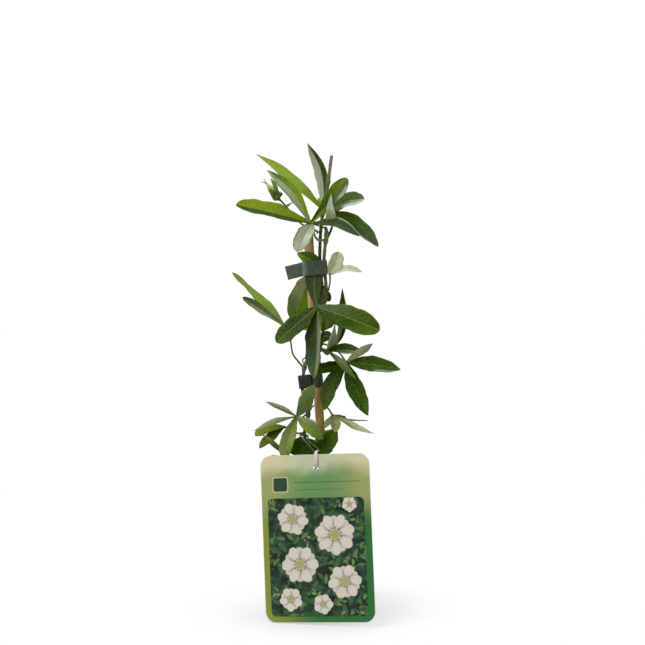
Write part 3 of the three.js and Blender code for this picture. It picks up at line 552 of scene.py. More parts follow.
class Route:
    """A smooth line through points, read by its share of the length."""

    def __init__(self, points, closed=False, steps=40):
        knots = [np.array(p, float) for p in points]
        if closed:
            knots = [knots[-1], *knots, knots[0], knots[1]]
        else:
            knots = [2 * knots[0] - knots[1], *knots, 2 * knots[-1] - knots[-2]]
        t = np.linspace(0, 1, steps, endpoint=False)[:, None]
        pieces = [self.stretch(*four, t) for four in zip(knots, knots[1:], knots[2:], knots[3:])]
        self.points = np.vstack([*pieces, knots[-2][None]])
        self.lengths = lengths_along(self.points)
        self.length = self.lengths[-1]

    @staticmethod
    def stretch(a, b, c, d, t):
        """Points between b and c of a centripetal line through all four."""
        before, between, after = (
            max(np.linalg.norm(q - p), 1e-9) ** 0.5 for p, q in ((a, b), (b, c), (c, d)))
        start = ((b - a) / before - (c - a) / (before + between) + (c - b) / between) * between
        end = ((c - b) / between - (d - b) / (between + after) + (d - c) / after) * between
        return (
            b + start * t + (-3 * b + 3 * c - 2 * start - end) * t**2
            + (2 * b - 2 * c + start + end) * t**3
        )

    def places(self, reach):
        """Points at lengths from the start."""
        return np.stack([np.interp(reach, self.lengths, axis) for axis in self.points.T], 1)

    def at(self, shares):
        """Points and directions at shares of the length."""
        reach = np.clip(np.asarray(shares, float), 0, 1) * self.length
        gap = 0.004 * self.length
        ahead, behind = (self.places(np.clip(reach + way * gap, 0, self.length)) for way in (1, -1))
        return self.places(reach), unit(ahead - behind)

    def share_near(self, point):
        """The share of the length at the place nearest to a point."""
        nearest = np.argmin(np.linalg.norm(self.points - np.array(point, float), axis=1))
        return self.lengths[nearest] / self.length


def smooth_table(rows, at):
    """Values between (place, value) rows, on a line that never overshoots them."""
    x, y = np.array(rows, float).T
    step, rise = np.diff(x), np.diff(y)
    slope = rise / step
    before, after = slope[:-1], slope[1:]
    tangent = np.zeros_like(y)
    same_way = before * after > 0
    tangent[1:-1][same_way] = 2 * before[same_way] * after[same_way] / (before + after)[same_way]
    tangent[0], tangent[-1] = slope[0], slope[-1]
    k = np.clip(np.searchsorted(x, at, side="right") - 1, 0, len(step) - 1)
    t = (at - x[k]) / step[k]
    return (
        y[k] * (1 + 2 * t) * (1 - t) ** 2
        + tangent[k] * step[k] * t * (1 - t) ** 2
        + y[k + 1] * t**2 * (3 - 2 * t)
        + tangent[k + 1] * step[k] * t**2 * (t - 1)
    )


def grid_faces(rows, ring):
    """Quads over rows of points, each row a ring."""
    i, j = np.meshgrid(np.arange(rows - 1), np.arange(ring), indexing="ij")
    following = (j + 1) % ring
    corners = (i * ring + j, i * ring + following, (i + 1) * ring + following, (i + 1) * ring + j)
    return np.stack([c.ravel() for c in corners], 1).tolist()


def end_caps(rows, ring):
    """The faces that close the first and the last ring."""
    return [list(range(ring))[::-1], [(rows - 1) * ring + k for k in range(ring)]]


def capped(rows, ring):
    return grid_faces(rows, ring) + end_caps(rows, ring)


class Shape:
    """The points and faces of one piece, with what its skin reads: a place on the piece
    (along and across in millimetres, then a share) and a colour with a fourth value."""

    def __init__(self):
        self.points, self.place, self.tone = [], [], []
        self.faces, self.skins = [], []
        self.count = 0

    def add(self, points, faces, place=None, tone=None, skin=0):
        n = len(points)
        self.points.append(np.asarray(points, float).reshape(n, 3))
        self.place.append(np.zeros((n, 3)) if place is None else place)
        self.tone.append(np.ones((n, 4)) if tone is None else tone)
        self.faces.extend([tuple(v + self.count for v in face) for face in faces])
        self.skins.extend([skin] * len(faces))
        self.count += n

    def add_rings(self, rings, faces, along, across, share=0, tone=1, rib=1, skin=0):
        """Rows of rings. What the skin reads spreads over them from a number, a row or a column."""
        place = np.zeros((*rings.shape[:2], 3))
        for axis, values in enumerate((along, across, share)):
            place[..., axis] = values
        tones = np.ones((*rings.shape[:2], 4))
        tones[..., :3] = tone
        tones[..., 3] = rib
        self.add(rings.reshape(-1, 3), faces, place.reshape(-1, 3), tones.reshape(-1, 4), skin)

    def build(self, name, materials, slot, node):
        mesh = bpy.data.meshes.new(name)
        mesh.from_pydata((np.vstack(self.points) * MM).tolist(), [], self.faces)
        for key, kind, field, values in (
            ("place", "FLOAT_VECTOR", "vector", self.place), ("tone", "FLOAT_COLOR", "color", self.tone),
        ):
            mesh.attributes.new(key, kind, "POINT").data.foreach_set(field, np.vstack(values).ravel())
        for material in materials:
            mesh.materials.append(material)
        mesh.polygons.foreach_set("material_index", self.skins)
        mesh.polygons.foreach_set("use_smooth", [True] * len(self.faces))
        mesh.update()
        return replace_node(name, mesh, node)


def stand(name, data):
    """An object in the scene for a mesh, a lamp or a camera."""
    holder = bpy.data.objects.new(name, data)
    bpy.context.scene.collection.objects.link(holder)
    return holder


def replace_node(name, mesh, node):
    """The finer piece that stands in for a node of the frame."""
    piece = stand(name, mesh)
    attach(piece, ROOT)
    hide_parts(node)
    return piece


def ring_frames(directions):
    """Two crosswise directions at each step of a line, turned as little as possible."""
    cross = np.array((0.3, 0.9, 0.1))
    sides = []
    for way in directions:
        cross = unit(cross - way * (cross @ way))
        sides.append(cross)
    sides = np.array(sides)
    return sides, np.cross(directions, sides)


def round_rings(angle, across, over):
    """Unit circles, one for each pair of crosswise directions."""
    return np.cos(angle)[None, :, None] * across + np.sin(angle)[None, :, None] * over


def tube(shape, route, radius, sides, steps, tone, skin=0, grooves=0.0):
    """A round tube along a route, its radius a function of the share, with rounded ends."""
    shares = np.linspace(0, 1, steps + 1)
    centre, way = route.at(shares)
    across, over = ring_frames(way)
    girth = np.array([radius(s) for s in shares])
    angle = angles(sides)
    wide = girth[:, None] * (1 + grooves * np.cos(5 * angle)[None])
    rings = centre[:, None] + wide[..., None] * round_rings(angle, across[:, None], over[:, None])
    first, last = (
        (centre[k] + 0.6 * (rings[k] - centre[k]) + sign * way[k] * 0.45 * girth[k])[None]
        for k, sign in ((0, -1), (-1, 1)))
    rings = np.vstack([first, rings, last])
    reach = np.concatenate([[0], shares, [1]])
    stops = np.array([TONES[name] for name in tone])
    stop_shares = np.linspace(0, 1, len(stops))
    tones = np.stack([np.interp(reach, stop_shares, channel) for channel in stops.T], 1)
    along = (reach * route.length)[:, None]
    shape.add_rings(rings, capped(len(rings), sides), along, angle, 1, tones[:, None], skin=skin)


def lathe(profile, sides):
    """The points, faces and places of a solid turned about Z, from (radius, height) rows that
    start and end on the axis."""
    rows = profile[1:-1]
    angle = angles(sides)
    rings = [(r * math.cos(a), r * math.sin(a), z) for r, z in rows for a in angle]
    points = np.array([*rings, (0, 0, profile[0][1]), (0, 0, profile[-1][1])])
    faces = grid_faces(len(rows), sides)
    low, high = len(rings), len(rings) + 1
    last = (len(rows) - 1) * sides
    faces += [[low, (k + 1) % sides, k] for k in range(sides)]
    faces += [[high, last + k, last + (k + 1) % sides] for k in range(sides)]
    place = np.zeros((len(points), 3))
    place[:low, 0] = np.repeat(lengths_along(rows), sides)
    place[:low, 1] = np.tile(angle, len(rows))
    return points, faces, place


def ball(radius, rows):
    """The profile of a ball, from its foot to its top."""
    return [(radius * math.sin(a), -radius * math.cos(a)) for a in np.linspace(0, math.pi, rows + 1)]


def bead(shape, centre, radius, tone, squash=(1, 1, 1), skin=0):
    """A small rounded lump."""
    points, faces, place = lathe(ball(radius, 8), 12)
    place[:, 2] = 1
    tones = np.tile((*TONES[tone], 1.0), (len(points), 1))
    shape.add(points * np.array(squash) + np.array(centre), faces, place, tones, skin)


def blade(shape, lobe, hub, sizes, seed, along=56, across=10, skin=0):
    """One lobe: two fine faces that meet at the edge, with its midrib, its arched halves
    and its wavy margin."""
    draw = random.Random(seed)
    route = Route([lobe.start or hub, *lobe.midrib])
    even = np.linspace(0, 1, along + 1)
    shares = 0.55 * even + 0.45 * (0.5 - 0.5 * np.cos(math.pi * even))
    column = shares[:, None]
    centre, forward = route.at(shares)
    face = np.array(lobe.face, float)
    up = unit(face - forward * (forward @ face)[:, None])
    side = np.cross(forward, up)

    # t runs from -1 at one edge to 1 at the other, with more steps near the midrib.
    step = np.arange(-across, across + 1) / across
    t = np.sign(step) * np.abs(step) ** 1.3
    off = np.abs(t)[None]
    wide = smooth_table(OUTLINES[lobe.outline], shares) * lobe.width / 2
    phases = [draw.uniform(0, 2 * math.pi) for _ in range(6)]
    uneven = 1 + 0.03 * np.sin(shares * 19 + phases[0]) + 0.02 * np.sin(shares * 37 + phases[1])
    reach = (wide * uneven)[:, None]
    fold = math.radians(lobe.fold)
    lean = np.cos(fold) * t[None] * reach
    rise = np.sin(fold) * off**1.2 * reach
    body = np.sqrt(np.clip(column * (1 - column) * 4, 0, 1))
    wave = sizes.blade_wave / MM * (lobe.width / 13)
    rhythm = np.sin(column * (9 + 3 * draw.random()) + np.where(t > 0, phases[2], phases[3])[None])
    rise = rise + body * wave * off**2 * rhythm
    # The blade swells softly between its side veins.
    cell = (column * route.length - 1.2 * np.abs(lean)) / VEIN_PITCH + (t > 0)[None] * 0.5
    rise = rise + 0.07 * np.cos(2 * math.pi * cell) * np.sin(math.pi * off) * body

    middle = centre[:, None] + side[:, None] * lean[..., None] + up[:, None] * rise[..., None]
    thick = sizes.blade_thickness / MM * np.sqrt(np.clip(1 - off**5, 0, 1))
    from_rib = np.abs(lean)
    groove = 0.13 * np.exp(-((from_rib / 0.4) ** 2)) * body
    rib = 0.5 * (1 - 0.7 * column) * np.exp(-((from_rib / 0.5) ** 2)) * np.minimum(body * 2, 1)
    top = middle + up[:, None] * (thick / 2 - groove)[..., None]
    low = middle - up[:, None] * (thick / 2 + rib)[..., None]
    rings = np.concatenate([top, low[:, -2:0:-1]], axis=1)
    ring_t = np.concatenate([t, t[-2:0:-1]])
    ring_lean = np.concatenate([lean, lean[:, -2:0:-1]], axis=1)
    place_along = (shares * route.length)[:, None] + draw.uniform(0, 40)

    # Each half's tones, with their painted sheen and painted light, blend from the hub to the tip.
    stops = np.clip(shares * 2, 0, 2)[:, None]
    plus, minus = (
        np.where(stops < 1, first * (1 - stops) + half * stops, half * (2 - stops) + last * (stops - 1))
        for first, half, last in ([TONES[name] for name in names.split()] for names in lobe.tones.split(", "))
    )
    which = np.clip(0.5 + ring_t * 9, 0, 1)[None, :, None]
    tones = minus[:, None] * (1 - which) + plus[:, None] * which
    # Rims: bands along a margin; the pale and silver ones are painted highlights.
    for sign, start, end, name, width in lobe.rims:
        ends = np.clip((shares - start) / 0.12, 0, 1) * np.clip((end - shares) / 0.08, 0, 1)
        band = np.clip((ring_t * sign - 1 + width) / (0.35 * width) + 0.5, 0, 1)
        amount = (ends[:, None] * band[None])[..., None]
        tones = tones * (1 - amount) + TONES[name] * amount
    lower = slice(2 * across + 1, None)
    tones[:, lower] = 0.5 * tones[:, lower] + 0.5 * TONES["sage"]
    shape.add_rings(rings, capped(*rings.shape[:2]), place_along, ring_lean, np.abs(ring_t), tones,
                    lobe.rib, skin)


# ---------------------------------------------------------------- materials


class Wire:
    """A value on its way between nodes. Its arithmetic adds the nodes that it needs."""

    def __init__(self, nodes, socket):
        self.nodes, self.socket = nodes, socket

    def __add__(self, other):
        return self.nodes.math("ADD", self, other)

    def __sub__(self, other):
        return self.nodes.math("SUBTRACT", self, other)

    def __rsub__(self, other):
        return self.nodes.math("SUBTRACT", other, self)

    def __mul__(self, other):
        return self.nodes.math("MULTIPLY", self, other)

    def __truediv__(self, other):
        return self.nodes.math("DIVIDE", self, other)

    def __rtruediv__(self, other):
        return self.nodes.math("DIVIDE", other, self)

    def __pow__(self, other):
        return self.nodes.math("POWER", self, other)

    def __gt__(self, other):
        return self.nodes.math("GREATER_THAN", self, other)

    def __abs__(self):
        return self.nodes.math("ABSOLUTE", self)

    def clamped(self):
        """The same sum, held between nought and one."""
        self.socket.node.use_clamp = True
        return self


class Nodes:
    """Adds nodes to a tree. Their inputs are wires, plain values or colour codes."""

    def __init__(self, tree):
        self.tree = tree

    def join(self, socket, value):
        if isinstance(value, Wire):
            self.tree.links.new(value.socket, socket)
        else:
            socket.default_value = colour(value) if isinstance(value, str) else value

    def add(self, kind, inputs=None, **settings):
        node = self.tree.nodes.new(kind)
        for key, value in settings.items():
            setattr(node, key, value)
        for key, value in (inputs or {}).items():
            self.join(node.inputs[key], value)
        return node

    def wires(self, kind, inputs=None, **settings):
        """Every output of a new node, by its name."""
        return {out.name: Wire(self, out) for out in self.add(kind, inputs, **settings).outputs}

    def wire(self, kind, inputs=None, key=0, **settings):
        """One output of a new node."""
        return Wire(self, self.add(kind, inputs, **settings).outputs[key])

    def math(self, operation, a, b=0.0):
        return self.wire("ShaderNodeMath", {0: a, 1: b}, operation=operation)

    def hypotenuse(self, x, y):
        return self.math("SQRT", x * x + y * y)

    def vector(self, operation, a, b=(0, 0, 0)):
        key = "Value" if operation == "LENGTH" else "Vector"
        return self.wire("ShaderNodeVectorMath", {0: a, 1: b}, key, operation=operation)

    def range(self, value, low, high, to_low=0.0, to_high=1.0):
        """A soft step from one value to another as the input goes from low to high."""
        values = {0: value, 1: low, 2: high, 3: to_low, 4: to_high}
        return self.wire("ShaderNodeMapRange", values, interpolation_type="SMOOTHSTEP")

    def mix(self, factor, a, b, blend="MIX"):
        return self.wire("ShaderNodeMix", {0: factor, 6: a, 7: b}, 2, data_type="RGBA", blend_type=blend)

    def tint(self, a, b):
        return self.mix(1.0, a, b, "MULTIPLY")

    def noise(self, vector, scale, detail=3.0, rough=0.55):
        values = {"Vector": vector, "Scale": scale, "Detail": detail, "Roughness": rough}
        return self.wire("ShaderNodeTexNoise", values, "Fac")

    def split(self, vector):
        return list(self.wires("ShaderNodeSeparateXYZ", {0: vector}).values())

    def merge(self, x, y, z):
        return self.wire("ShaderNodeCombineXYZ", {0: x, 1: y, 2: z})

    def group(self, tree, **inputs):
        return self.wires("ShaderNodeGroup", inputs, node_tree=tree)

    def object_place(self):
        return self.wire("ShaderNodeTexCoord", key="Object")

    def read(self, name):
        return self.wires("ShaderNodeAttribute", attribute_name=name)

    def place(self):
        """Where a point lies on its piece: along it, across it, and the third value."""
        return self.read("place")["Vector"]


def empty_nodes(holder):
    """The emptied node tree of a material or of a world."""
    holder.use_nodes = True
    holder.node_tree.nodes.clear()
    return Nodes(holder.node_tree)


class Group(Nodes):
    """A shader group under way, with its named inputs as wires and its outputs to fill."""

    def __init__(self, name, inputs, outputs):
        super().__init__(bpy.data.node_groups.new(name, "ShaderNodeTree"))
        for label, default in inputs.items():
            kind = "NodeSocketVector" if default is None else "NodeSocketFloat"
            socket = self.tree.interface.new_socket(label, in_out="INPUT", socket_type=kind)
            if default is not None:
                socket.default_value = default
        for label in outputs:
            self.tree.interface.new_socket(label, in_out="OUTPUT", socket_type="NodeSocketFloat")
        self.given = self.wires("NodeGroupInput")
        self.out = self.add("NodeGroupOutput").inputs

    def give(self, **values):
        for label, value in values.items():
            self.join(self.out[label.replace("_", " ")], value)
        return self.tree


def once(name):
    """Has a shader group made under its name the first time that it is asked for."""

    def keep(make):
        def fetch():
            return bpy.data.node_groups.get(name) or make(name)

        return fetch

    return keep


@once("Mottle")
def mottle_group(name):
    """Soft blotches and fine speckle as one value around one."""
    nodes = Group(name, {"Vector": None, "Scale": 60.0, "Depth": 0.2}, ["Value"])
    where, scale, depth = nodes.given["Vector"], nodes.given["Scale"], nodes.given["Depth"]
    both = nodes.noise(where, scale, 2) * 0.65 + nodes.noise(where, scale * 4.0, 2, 0.5) * 0.35
    return nodes.give(Value=(both - 0.5) * (depth * 4.0) + 1.0)


@once("Leaf Veins")
def veins_group(name):
    """The midrib, the side veins and the fine net of a blade."""
    nodes = Group(name, {"Place": None, "Pitch": 5.0}, ["Midrib", "Side Veins", "Net", "Height"])
    place, pitch = nodes.given["Place"], nodes.given["Pitch"]
    along, across, share = nodes.split(place)
    from_rib = abs(across)
    midrib = nodes.range(from_rib, 0.12, 0.5, 1, 0)
    side = (across > 0.0) * 0.5
    slanted = (along - (from_rib**1.15) * 0.85) / pitch
    phase = slanted + side + nodes.noise(place, 0.35, 1) * 1.3
    away = abs(nodes.math("FRACT", phase) - 0.5) * pitch
    veins = nodes.range(away, 0.05, 0.42, 1, 0) * nodes.range(share, 0.75, 1.0, 1, 0)
    cells = {"Vector": nodes.merge(along, across, 0.0), "Scale": 0.42}
    edge = nodes.wire("ShaderNodeTexVoronoi", cells, "Distance", feature="DISTANCE_TO_EDGE")
    height = nodes.range(edge, 0.0, 0.4) - veins * 0.7 - midrib
    net = nodes.range(edge, 0.0, 0.22, 1, 0)
    return nodes.give(Midrib=midrib, Side_Veins=veins, Net=net, Height=height)


@once("Long Streaks")
def streaks_group(name):
    """Fibres that run along a round stem or cane."""
    nodes = Group(name, {"Place": None, "Girth": 3.0, "Length": 0.05}, ["Streaks", "Blotches"])
    girth, length = nodes.given["Girth"], nodes.given["Length"]
    along, angle, _ = nodes.split(nodes.given["Place"])
    x, y = (nodes.math(wave, angle) * girth for wave in ("COSINE", "SINE"))
    fibre = nodes.merge(x, y, along * length)
    patch = nodes.merge(x * 0.3, y * 0.3, along * (length * 1.6))
    return nodes.give(Streaks=nodes.noise(fibre, 1.0, 5, 0.62), Blotches=nodes.noise(patch, 1.0, 2, 0.5))


@once("Fine Grain")
def grain_group(name):
    """The height of a moulded or pressed surface, with rare deeper scuffs."""
    nodes = Group(name, {"Vector": None, "Scale": 900.0}, ["Height", "Scuffs"])
    where, scale = nodes.given["Vector"], nodes.given["Scale"]
    stretched = nodes.vector("MULTIPLY", where, (1, 1, 0.15))
    scuff = nodes.range(nodes.noise(stretched, scale * 0.12, 4, 0.7), 0.6, 0.78)
    return nodes.give(Height=nodes.noise(where, scale, 3) - scuff * 0.6, Scuffs=scuff)


@once("Blossom")
def blossom_group(name):
    """A printed flower of broad uneven petals round a soft heart."""
    sockets = {"Place": None, "Centre": None, "Radius": 14.0, "Turn": 0.0, "Petals": 6.0}
    nodes = Group(name, sockets, ["Petals", "Shade", "Heart", "Dots"])
    place, centre, radius, start, petals = (nodes.given[key] for key in sockets)
    sway = (nodes.noise(place, 0.1, 2) - 0.5) * 0.5
    x, y, _ = nodes.split(nodes.vector("SUBTRACT", place, centre))
    reach = nodes.hypotenuse(x, y) / radius * (sway * 0.3 + 1.0)
    angle = nodes.math("ARCTAN2", y, x) + start + sway
    turn = angle * (petals * 0.5)
    crest = abs(nodes.math("COSINE", turn))
    inside = crest**0.5 * 0.66 + 0.34 - reach
    # A second row of petals shows behind the gaps of the first.
    outer = abs(nodes.math("SINE", turn)) ** 0.6 * 0.56 + 0.34 - reach
    front, back = nodes.range(inside, 0.0, 0.05), nodes.range(outer, 0.0, 0.05)
    gap = nodes.range(crest, 0.0, 0.6, 0.25, 1) * nodes.range(reach, 0.12, 0.55, 0.55, 1)
    margin = nodes.range(inside, 0.0, 0.1, 0.75, 1)
    stripe = nodes.noise(nodes.merge(angle * 9.0, reach, 0.0), 3.0, 3) * 1.3 + 0.35
    fore = gap * (margin * stripe)
    aft = nodes.range(reach, 0.3, 0.85, 0.35, 0.85) * stripe
    shade = (fore * front + aft * (1.0 - front)).clamped()
    beat = nodes.math("FRACT", angle * (HEART_DOTS / (2 * math.pi)))
    dots = nodes.range(abs(reach - 0.3), 0.02, 0.07, 1, 0) * nodes.range(abs(beat - 0.5), 0.12, 0.3, 1, 0)
    heart = nodes.range(reach, 0.16, 0.26, 1, 0)
    return nodes.give(Petals=nodes.math("MAXIMUM", front, back), Shade=shade, Heart=heart, Dots=dots)


@once("Printed Foliage")
def foliage_group(name):
    """One layer of scattered oval leaves, with a midrib each."""
    nodes = Group(name, {"Place": None, "Size": 8.0}, ["Leaves", "Light"])
    place, size = nodes.given["Place"], nodes.given["Size"]
    scaled = nodes.vector("MULTIPLY", place, nodes.merge(1.0 / size, 1.0 / size, 0.0))
    cells = nodes.wires("ShaderNodeTexVoronoi", {"Vector": scaled, "Scale": 1.0}, voronoi_dimensions="2D")
    local = nodes.vector("SUBTRACT", scaled, cells["Position"])
    drawn = nodes.wires("ShaderNodeSeparateColor", {0: cells["Color"]})
    turned = {"Vector": local, "Axis": (0, 0, 1), "Angle": drawn["Red"] * 6.283}
    x, y, _ = nodes.split(nodes.wire("ShaderNodeVectorRotate", turned))
    span = 1.0 - abs(x * 1.6) ** 2.0
    leaves = nodes.range(span * 0.24 - abs(y), 0.0, 0.03)
    lit = drawn["Green"] * 0.7 + nodes.range(abs(y), 0.0, 0.03, 0.35, 0)
    return nodes.give(Leaves=leaves, Light=(lit + nodes.range(y, -0.2, 0.2, -0.12, 0.12)).clamped())


class Skin(Nodes):
    """A material with one shader, whose even values are set on its own sockets."""

    def __init__(self, name, roughness, specular=0.5):
        self.material = bpy.data.materials.new(name)
        super().__init__(empty_nodes(self.material).tree)
        values = {"Roughness": roughness, "Specular IOR Level": specular}
        shader = self.add("ShaderNodeBsdfPrincipled", values)
        self.shader = shader.inputs
        self.add("ShaderNodeOutputMaterial", {"Surface": Wire(self, shader.outputs[0])})

    def cover(self, paint, height, distance, strength=1.0, roughness=None):
        """Joins what changes over the surface: its colour, its relief and its roughness."""
        self.join(self.shader["Base Color"], paint)
        if roughness is not None:
            self.join(self.shader["Roughness"], roughness)
        relief = {"Height": height, "Distance": distance, "Strength": strength}
        self.join(self.shader["Normal"], self.wire("ShaderNodeBump", relief))
        return self.material

    def grain(self, where, scale):
        return self.group(grain_group(), Vector=where, Scale=scale)

    def streaks(self, place, girth, length):
        """Fibres and blotches along a stem."""
        fibre = self.group(streaks_group(), Place=place, Girth=girth, Length=length)
        return fibre["Streaks"], fibre["Blotches"]

    def box(self, x, y, edges, corner, soft):
        """One inside a rounded box given as (left, right, low, high), and nought outside."""
        left, right, low, high = edges
        dx = abs(x - (left + right) / 2) - ((right - left) / 2 - corner)
        dy = abs(y - (low + high) / 2) - ((high - low) / 2 - corner)
        far = self.hypotenuse(*(self.math("MAXIMUM", d, 0.0) for d in (dx, dy)))
        return self.range(far, corner - soft, corner, 1, 0)


def leaf_skin(name, roughness, vein_light, vein_strength, gloss, patches=0.0):
    """Blades and stalks: the lobe's tones, which hold painted sheen and painted light beside its own colours,
    with veins and mottling, warmer in patches and towards the margin, and a painted highlight along
    the very margin. patches is how strongly green blotches cover a pale blade."""
    skin = Skin(name, roughness, gloss)
    tone, place, where = skin.read("tone"), skin.place(), skin.object_place()
    own = tone["Color"]
    veins = skin.group(veins_group(), Place=place, Pitch=5.5)
    mottle = skin.group(mottle_group(), Vector=where, Scale=150.0, Depth=0.21)["Value"]
    share = skin.split(place)[2]
    base = skin.tint(own, skin.merge(mottle, mottle, mottle))
    warm = skin.tint(base, (1.35, 1.25, 0.6, 1))
    sunny = skin.range(skin.noise(where, 62.0, 2), 0.42, 0.68, 0, 0.55) + skin.range(share, 0.5, 1.0, 0, 0.3)
    depth = skin.wire("ShaderNodeRGBToBW", {0: own})
    dark_green = skin.range(depth, 0.2, 0.36, 1, 0)
    base = skin.mix(sunny.clamped() * dark_green, base, warm)
    base = skin.mix(skin.range(skin.noise(where, 300.0, 2), 0.48, 0.6, 0, patches), base, PALETTE["willow"])
    dark = skin.mix(0.5, own, (0, 0, 0, 1))
    light = skin.mix(0.45, own, vein_light)
    light = skin.mix(dark_green, light, skin.tint(light, (1.05, 1.0, 0.45, 1)))
    drawn = skin.mix(veins["Net"] * skin.range(depth, 0.15, 0.26, 0.13, 0.36), base, light)
    drawn = skin.mix(veins["Side Veins"] * (0.38 * vein_strength), drawn, light)
    lit = skin.range(tone["Alpha"], 0.5, 1.0) * vein_strength
    unlit = skin.range(tone["Alpha"], 0.0, 0.5, 1, 0) * vein_strength
    drawn = skin.mix(veins["Midrib"] * lit, drawn, light)
    drawn = skin.mix(veins["Midrib"] * unlit, drawn, dark)
    # A lighter band along the very margin: a painted highlight on the rim.
    drawn = skin.mix(skin.range(share, 0.94, 0.99, 0, 0.22), drawn, light)
    rough = ((mottle - 1.0) * 0.4 + roughness + veins["Side Veins"] * 0.08).clamped()
    return skin.cover(drawn, veins["Height"], 0.0001, 0.3, rough)


def stem_skin(name, dark, light, roughness):
    """Bark and green shoots: fibres and blotches along the stem."""
    skin = Skin(name, roughness, 0.15)
    own = skin.read("tone")["Color"]
    streaks, blotches = skin.streaks(skin.place(), 2.4, 0.22)
    mixed = skin.mix(0.35, own, skin.mix(skin.range(streaks, 0.36, 0.64), dark, light))
    worn = skin.mix(skin.range(blotches, 0.45, 0.7, 0, 0.2), mixed, light)
    return skin.cover(worn, streaks, 0.0003, 0.8)


def bamboo_skin(colours):
    """The cane's hard skin: fine fibres, dusty blotches, darker bands at its joints, and painted light and
    painted shade on its two sides.
    """
    skin = Skin("bamboo_skin", 0.45, 0.25)
    place = skin.place()
    streaks, blotches = skin.streaks(place, 5.0, 0.035)
    _, angle, joint = skin.split(place)
    body = skin.mix(skin.range(blotches, 0.36, 0.68), (*colours.bamboo, 1), "#b08f50")
    # Painted light on one side, and painted shade, browner, on the other.
    facing = skin.math("COSINE", angle - math.radians(PAINTED_LIGHT_SIDE))
    body = skin.mix(skin.range(facing, -0.5, 0.2, 0.5, 0), body, "#8d6a30")
    body = skin.mix(skin.range(facing, 0.5, 1.0, 0, 0.45), body, "#e9cc94")
    lined = skin.mix(skin.range(streaks, 0.42, 0.66, 0, 0.5), body, "#8f7642")
    pale = skin.mix(skin.range(streaks, 0.28, 0.4, 0.4, 0), lined, "#dcc99e")
    banded = skin.mix(joint * 0.7, pale, "#6a5733")
    return skin.cover(banded, streaks, 0.0002, 0.5, skin.range(streaks, 0.3, 0.7, 0.38, 0.58))


def cut_wood():
    """The cane's cut ends: pale pith with dark fibre dots."""
    skin = Skin("bamboo_cut", 0.8)
    pores = {"Vector": skin.object_place(), "Scale": 1800.0}
    spot = skin.wire("ShaderNodeTexVoronoi", pores, "Distance")
    return skin.cover(skin.mix(skin.range(spot, 0.1, 0.32, 1, 0), "#c9ad7d", "#7a5a35"), spot, 0.0002)


def pot_skin(colours):
    """Thin moulded plastic: satin, with a fine grain, scuffs and a little dust low down."""
    skin = Skin("pot_plastic", 0.42)
    where = skin.object_place()
    grain = skin.grain(where, 1100.0)
    low_down = skin.range(skin.split(where)[2], 0.0, 0.05, 0.5, 0.12)
    dust = skin.range(skin.noise(where, 90.0, 5, 0.65), 0.5, 0.75) * low_down
    scuffed = skin.mix(grain["Scuffs"] * 0.35, (*colours.pot, 1), "#4c4f50")
    rough = dust * 0.6 + skin.range(grain["Scuffs"], 0, 1, 0.38, 0.55)
    return skin.cover(skin.mix(dust, scuffed, "#6b5a48"), grain["Height"], 0.00006, 0.7, rough)


def soil_skin(colours):
    """Potting soil: dark peat with lighter fibre and damp patches."""
    skin = Skin("potting_soil", 0.95, 0.2)
    where = skin.object_place()
    coarse, damp = skin.noise(where, 260.0, 5, 0.7), skin.noise(where, 45.0, 2)
    brown = skin.mix(skin.range(coarse, 0.35, 0.68), "#21160e", (*colours.soil, 1))
    wet = skin.mix(skin.range(damp, 0.45, 0.7, 0, 0.45), brown, "#150e09")
    return skin.cover(skin.tint(wet, skin.read("tone")["Color"]), coarse, 0.0009)


def grit_skin():
    """White grit and bits of bark among the soil."""
    skin = Skin("soil_grit", 0.85, 0.3)
    coarse = skin.noise(skin.object_place(), 900.0, 4, 0.7)
    speck = skin.mix(skin.range(coarse, 0.4, 0.7, 0, 0.5), skin.read("tone")["Color"], "#5d4a36")
    return skin.cover(speck, coarse, 0.0004)


def tape_skin(colours):
    """Plant tape: dull green film with faint cross ribs and scuffs, tinted by each band's tone, which holds a
    painted highlight along one crease and painted shade on one loop.
    """
    skin = Skin("plant_tape", 0.5, 0.45)
    place = skin.place()
    along, up, _ = skin.split(place)
    grain = skin.grain(skin.vector("MULTIPLY", place, (MM, MM, MM)), 1400.0)
    patch = skin.noise(place, 0.22, 3)
    body = skin.mix(skin.range(patch, 0.35, 0.7, 0, 0.4), (*colours.tape, 1), "#5f6d63")
    dark = skin.tint(body, skin.read("tone")["Color"])
    edge = skin.range(abs(up), 5.2, 6.1, 0, 0.3)
    worn = skin.mix((grain["Scuffs"] * 0.3 + edge).clamped(), dark, "#7d897f")
    height = skin.math("SINE", along * (2 * math.pi / TAPE_RIBS)) * 0.35 + grain["Height"]
    return skin.cover(worn, height, 0.00004, 0.6, skin.range(patch, 0.3, 0.7, 0.4, 0.6))


def tie_skin(colours):
    """Soft white plastic strip with fine lengthwise lines and a little grime."""
    skin = Skin("tie_plastic", 0.45, 0.45)
    place = skin.place()
    along, across, _ = skin.split(place)
    fine = skin.noise(skin.merge(along * 0.4, across * 6.0, 0.0), 1.0, 3)
    grime = skin.range(skin.noise(place, 0.5, 3), 0.5, 0.75, 0, 0.35)
    worn = skin.mix(grime, (*colours.tie, 1), "#a9a08c")
    # The tone carries painted shade on the tie's twisted lengths, and dulls their gloss there too.
    own = skin.read("tone")["Color"]
    skin.join(skin.shader["Specular IOR Level"], skin.range(skin.split(own)[0], 0.1, 0.8, 0.05, 0.45))
    return skin.cover(skin.tint(worn, own), fine, 0.0001, 0.6, skin.range(fine, 0.3, 0.7, 0.35, 0.55))


def card_stock():
    """The card's white core, at its cut edges."""
    skin = Skin("card_edge", 0.7)
    fibre = skin.noise(skin.vector("MULTIPLY", skin.object_place(), (1, 1, 6)), 900.0, 3)
    return skin.cover(skin.mix(skin.range(fibre, 0.4, 0.7, 0, 0.25), "#f2f1ea", "#cfcdbf"), fibre, 0.00005)


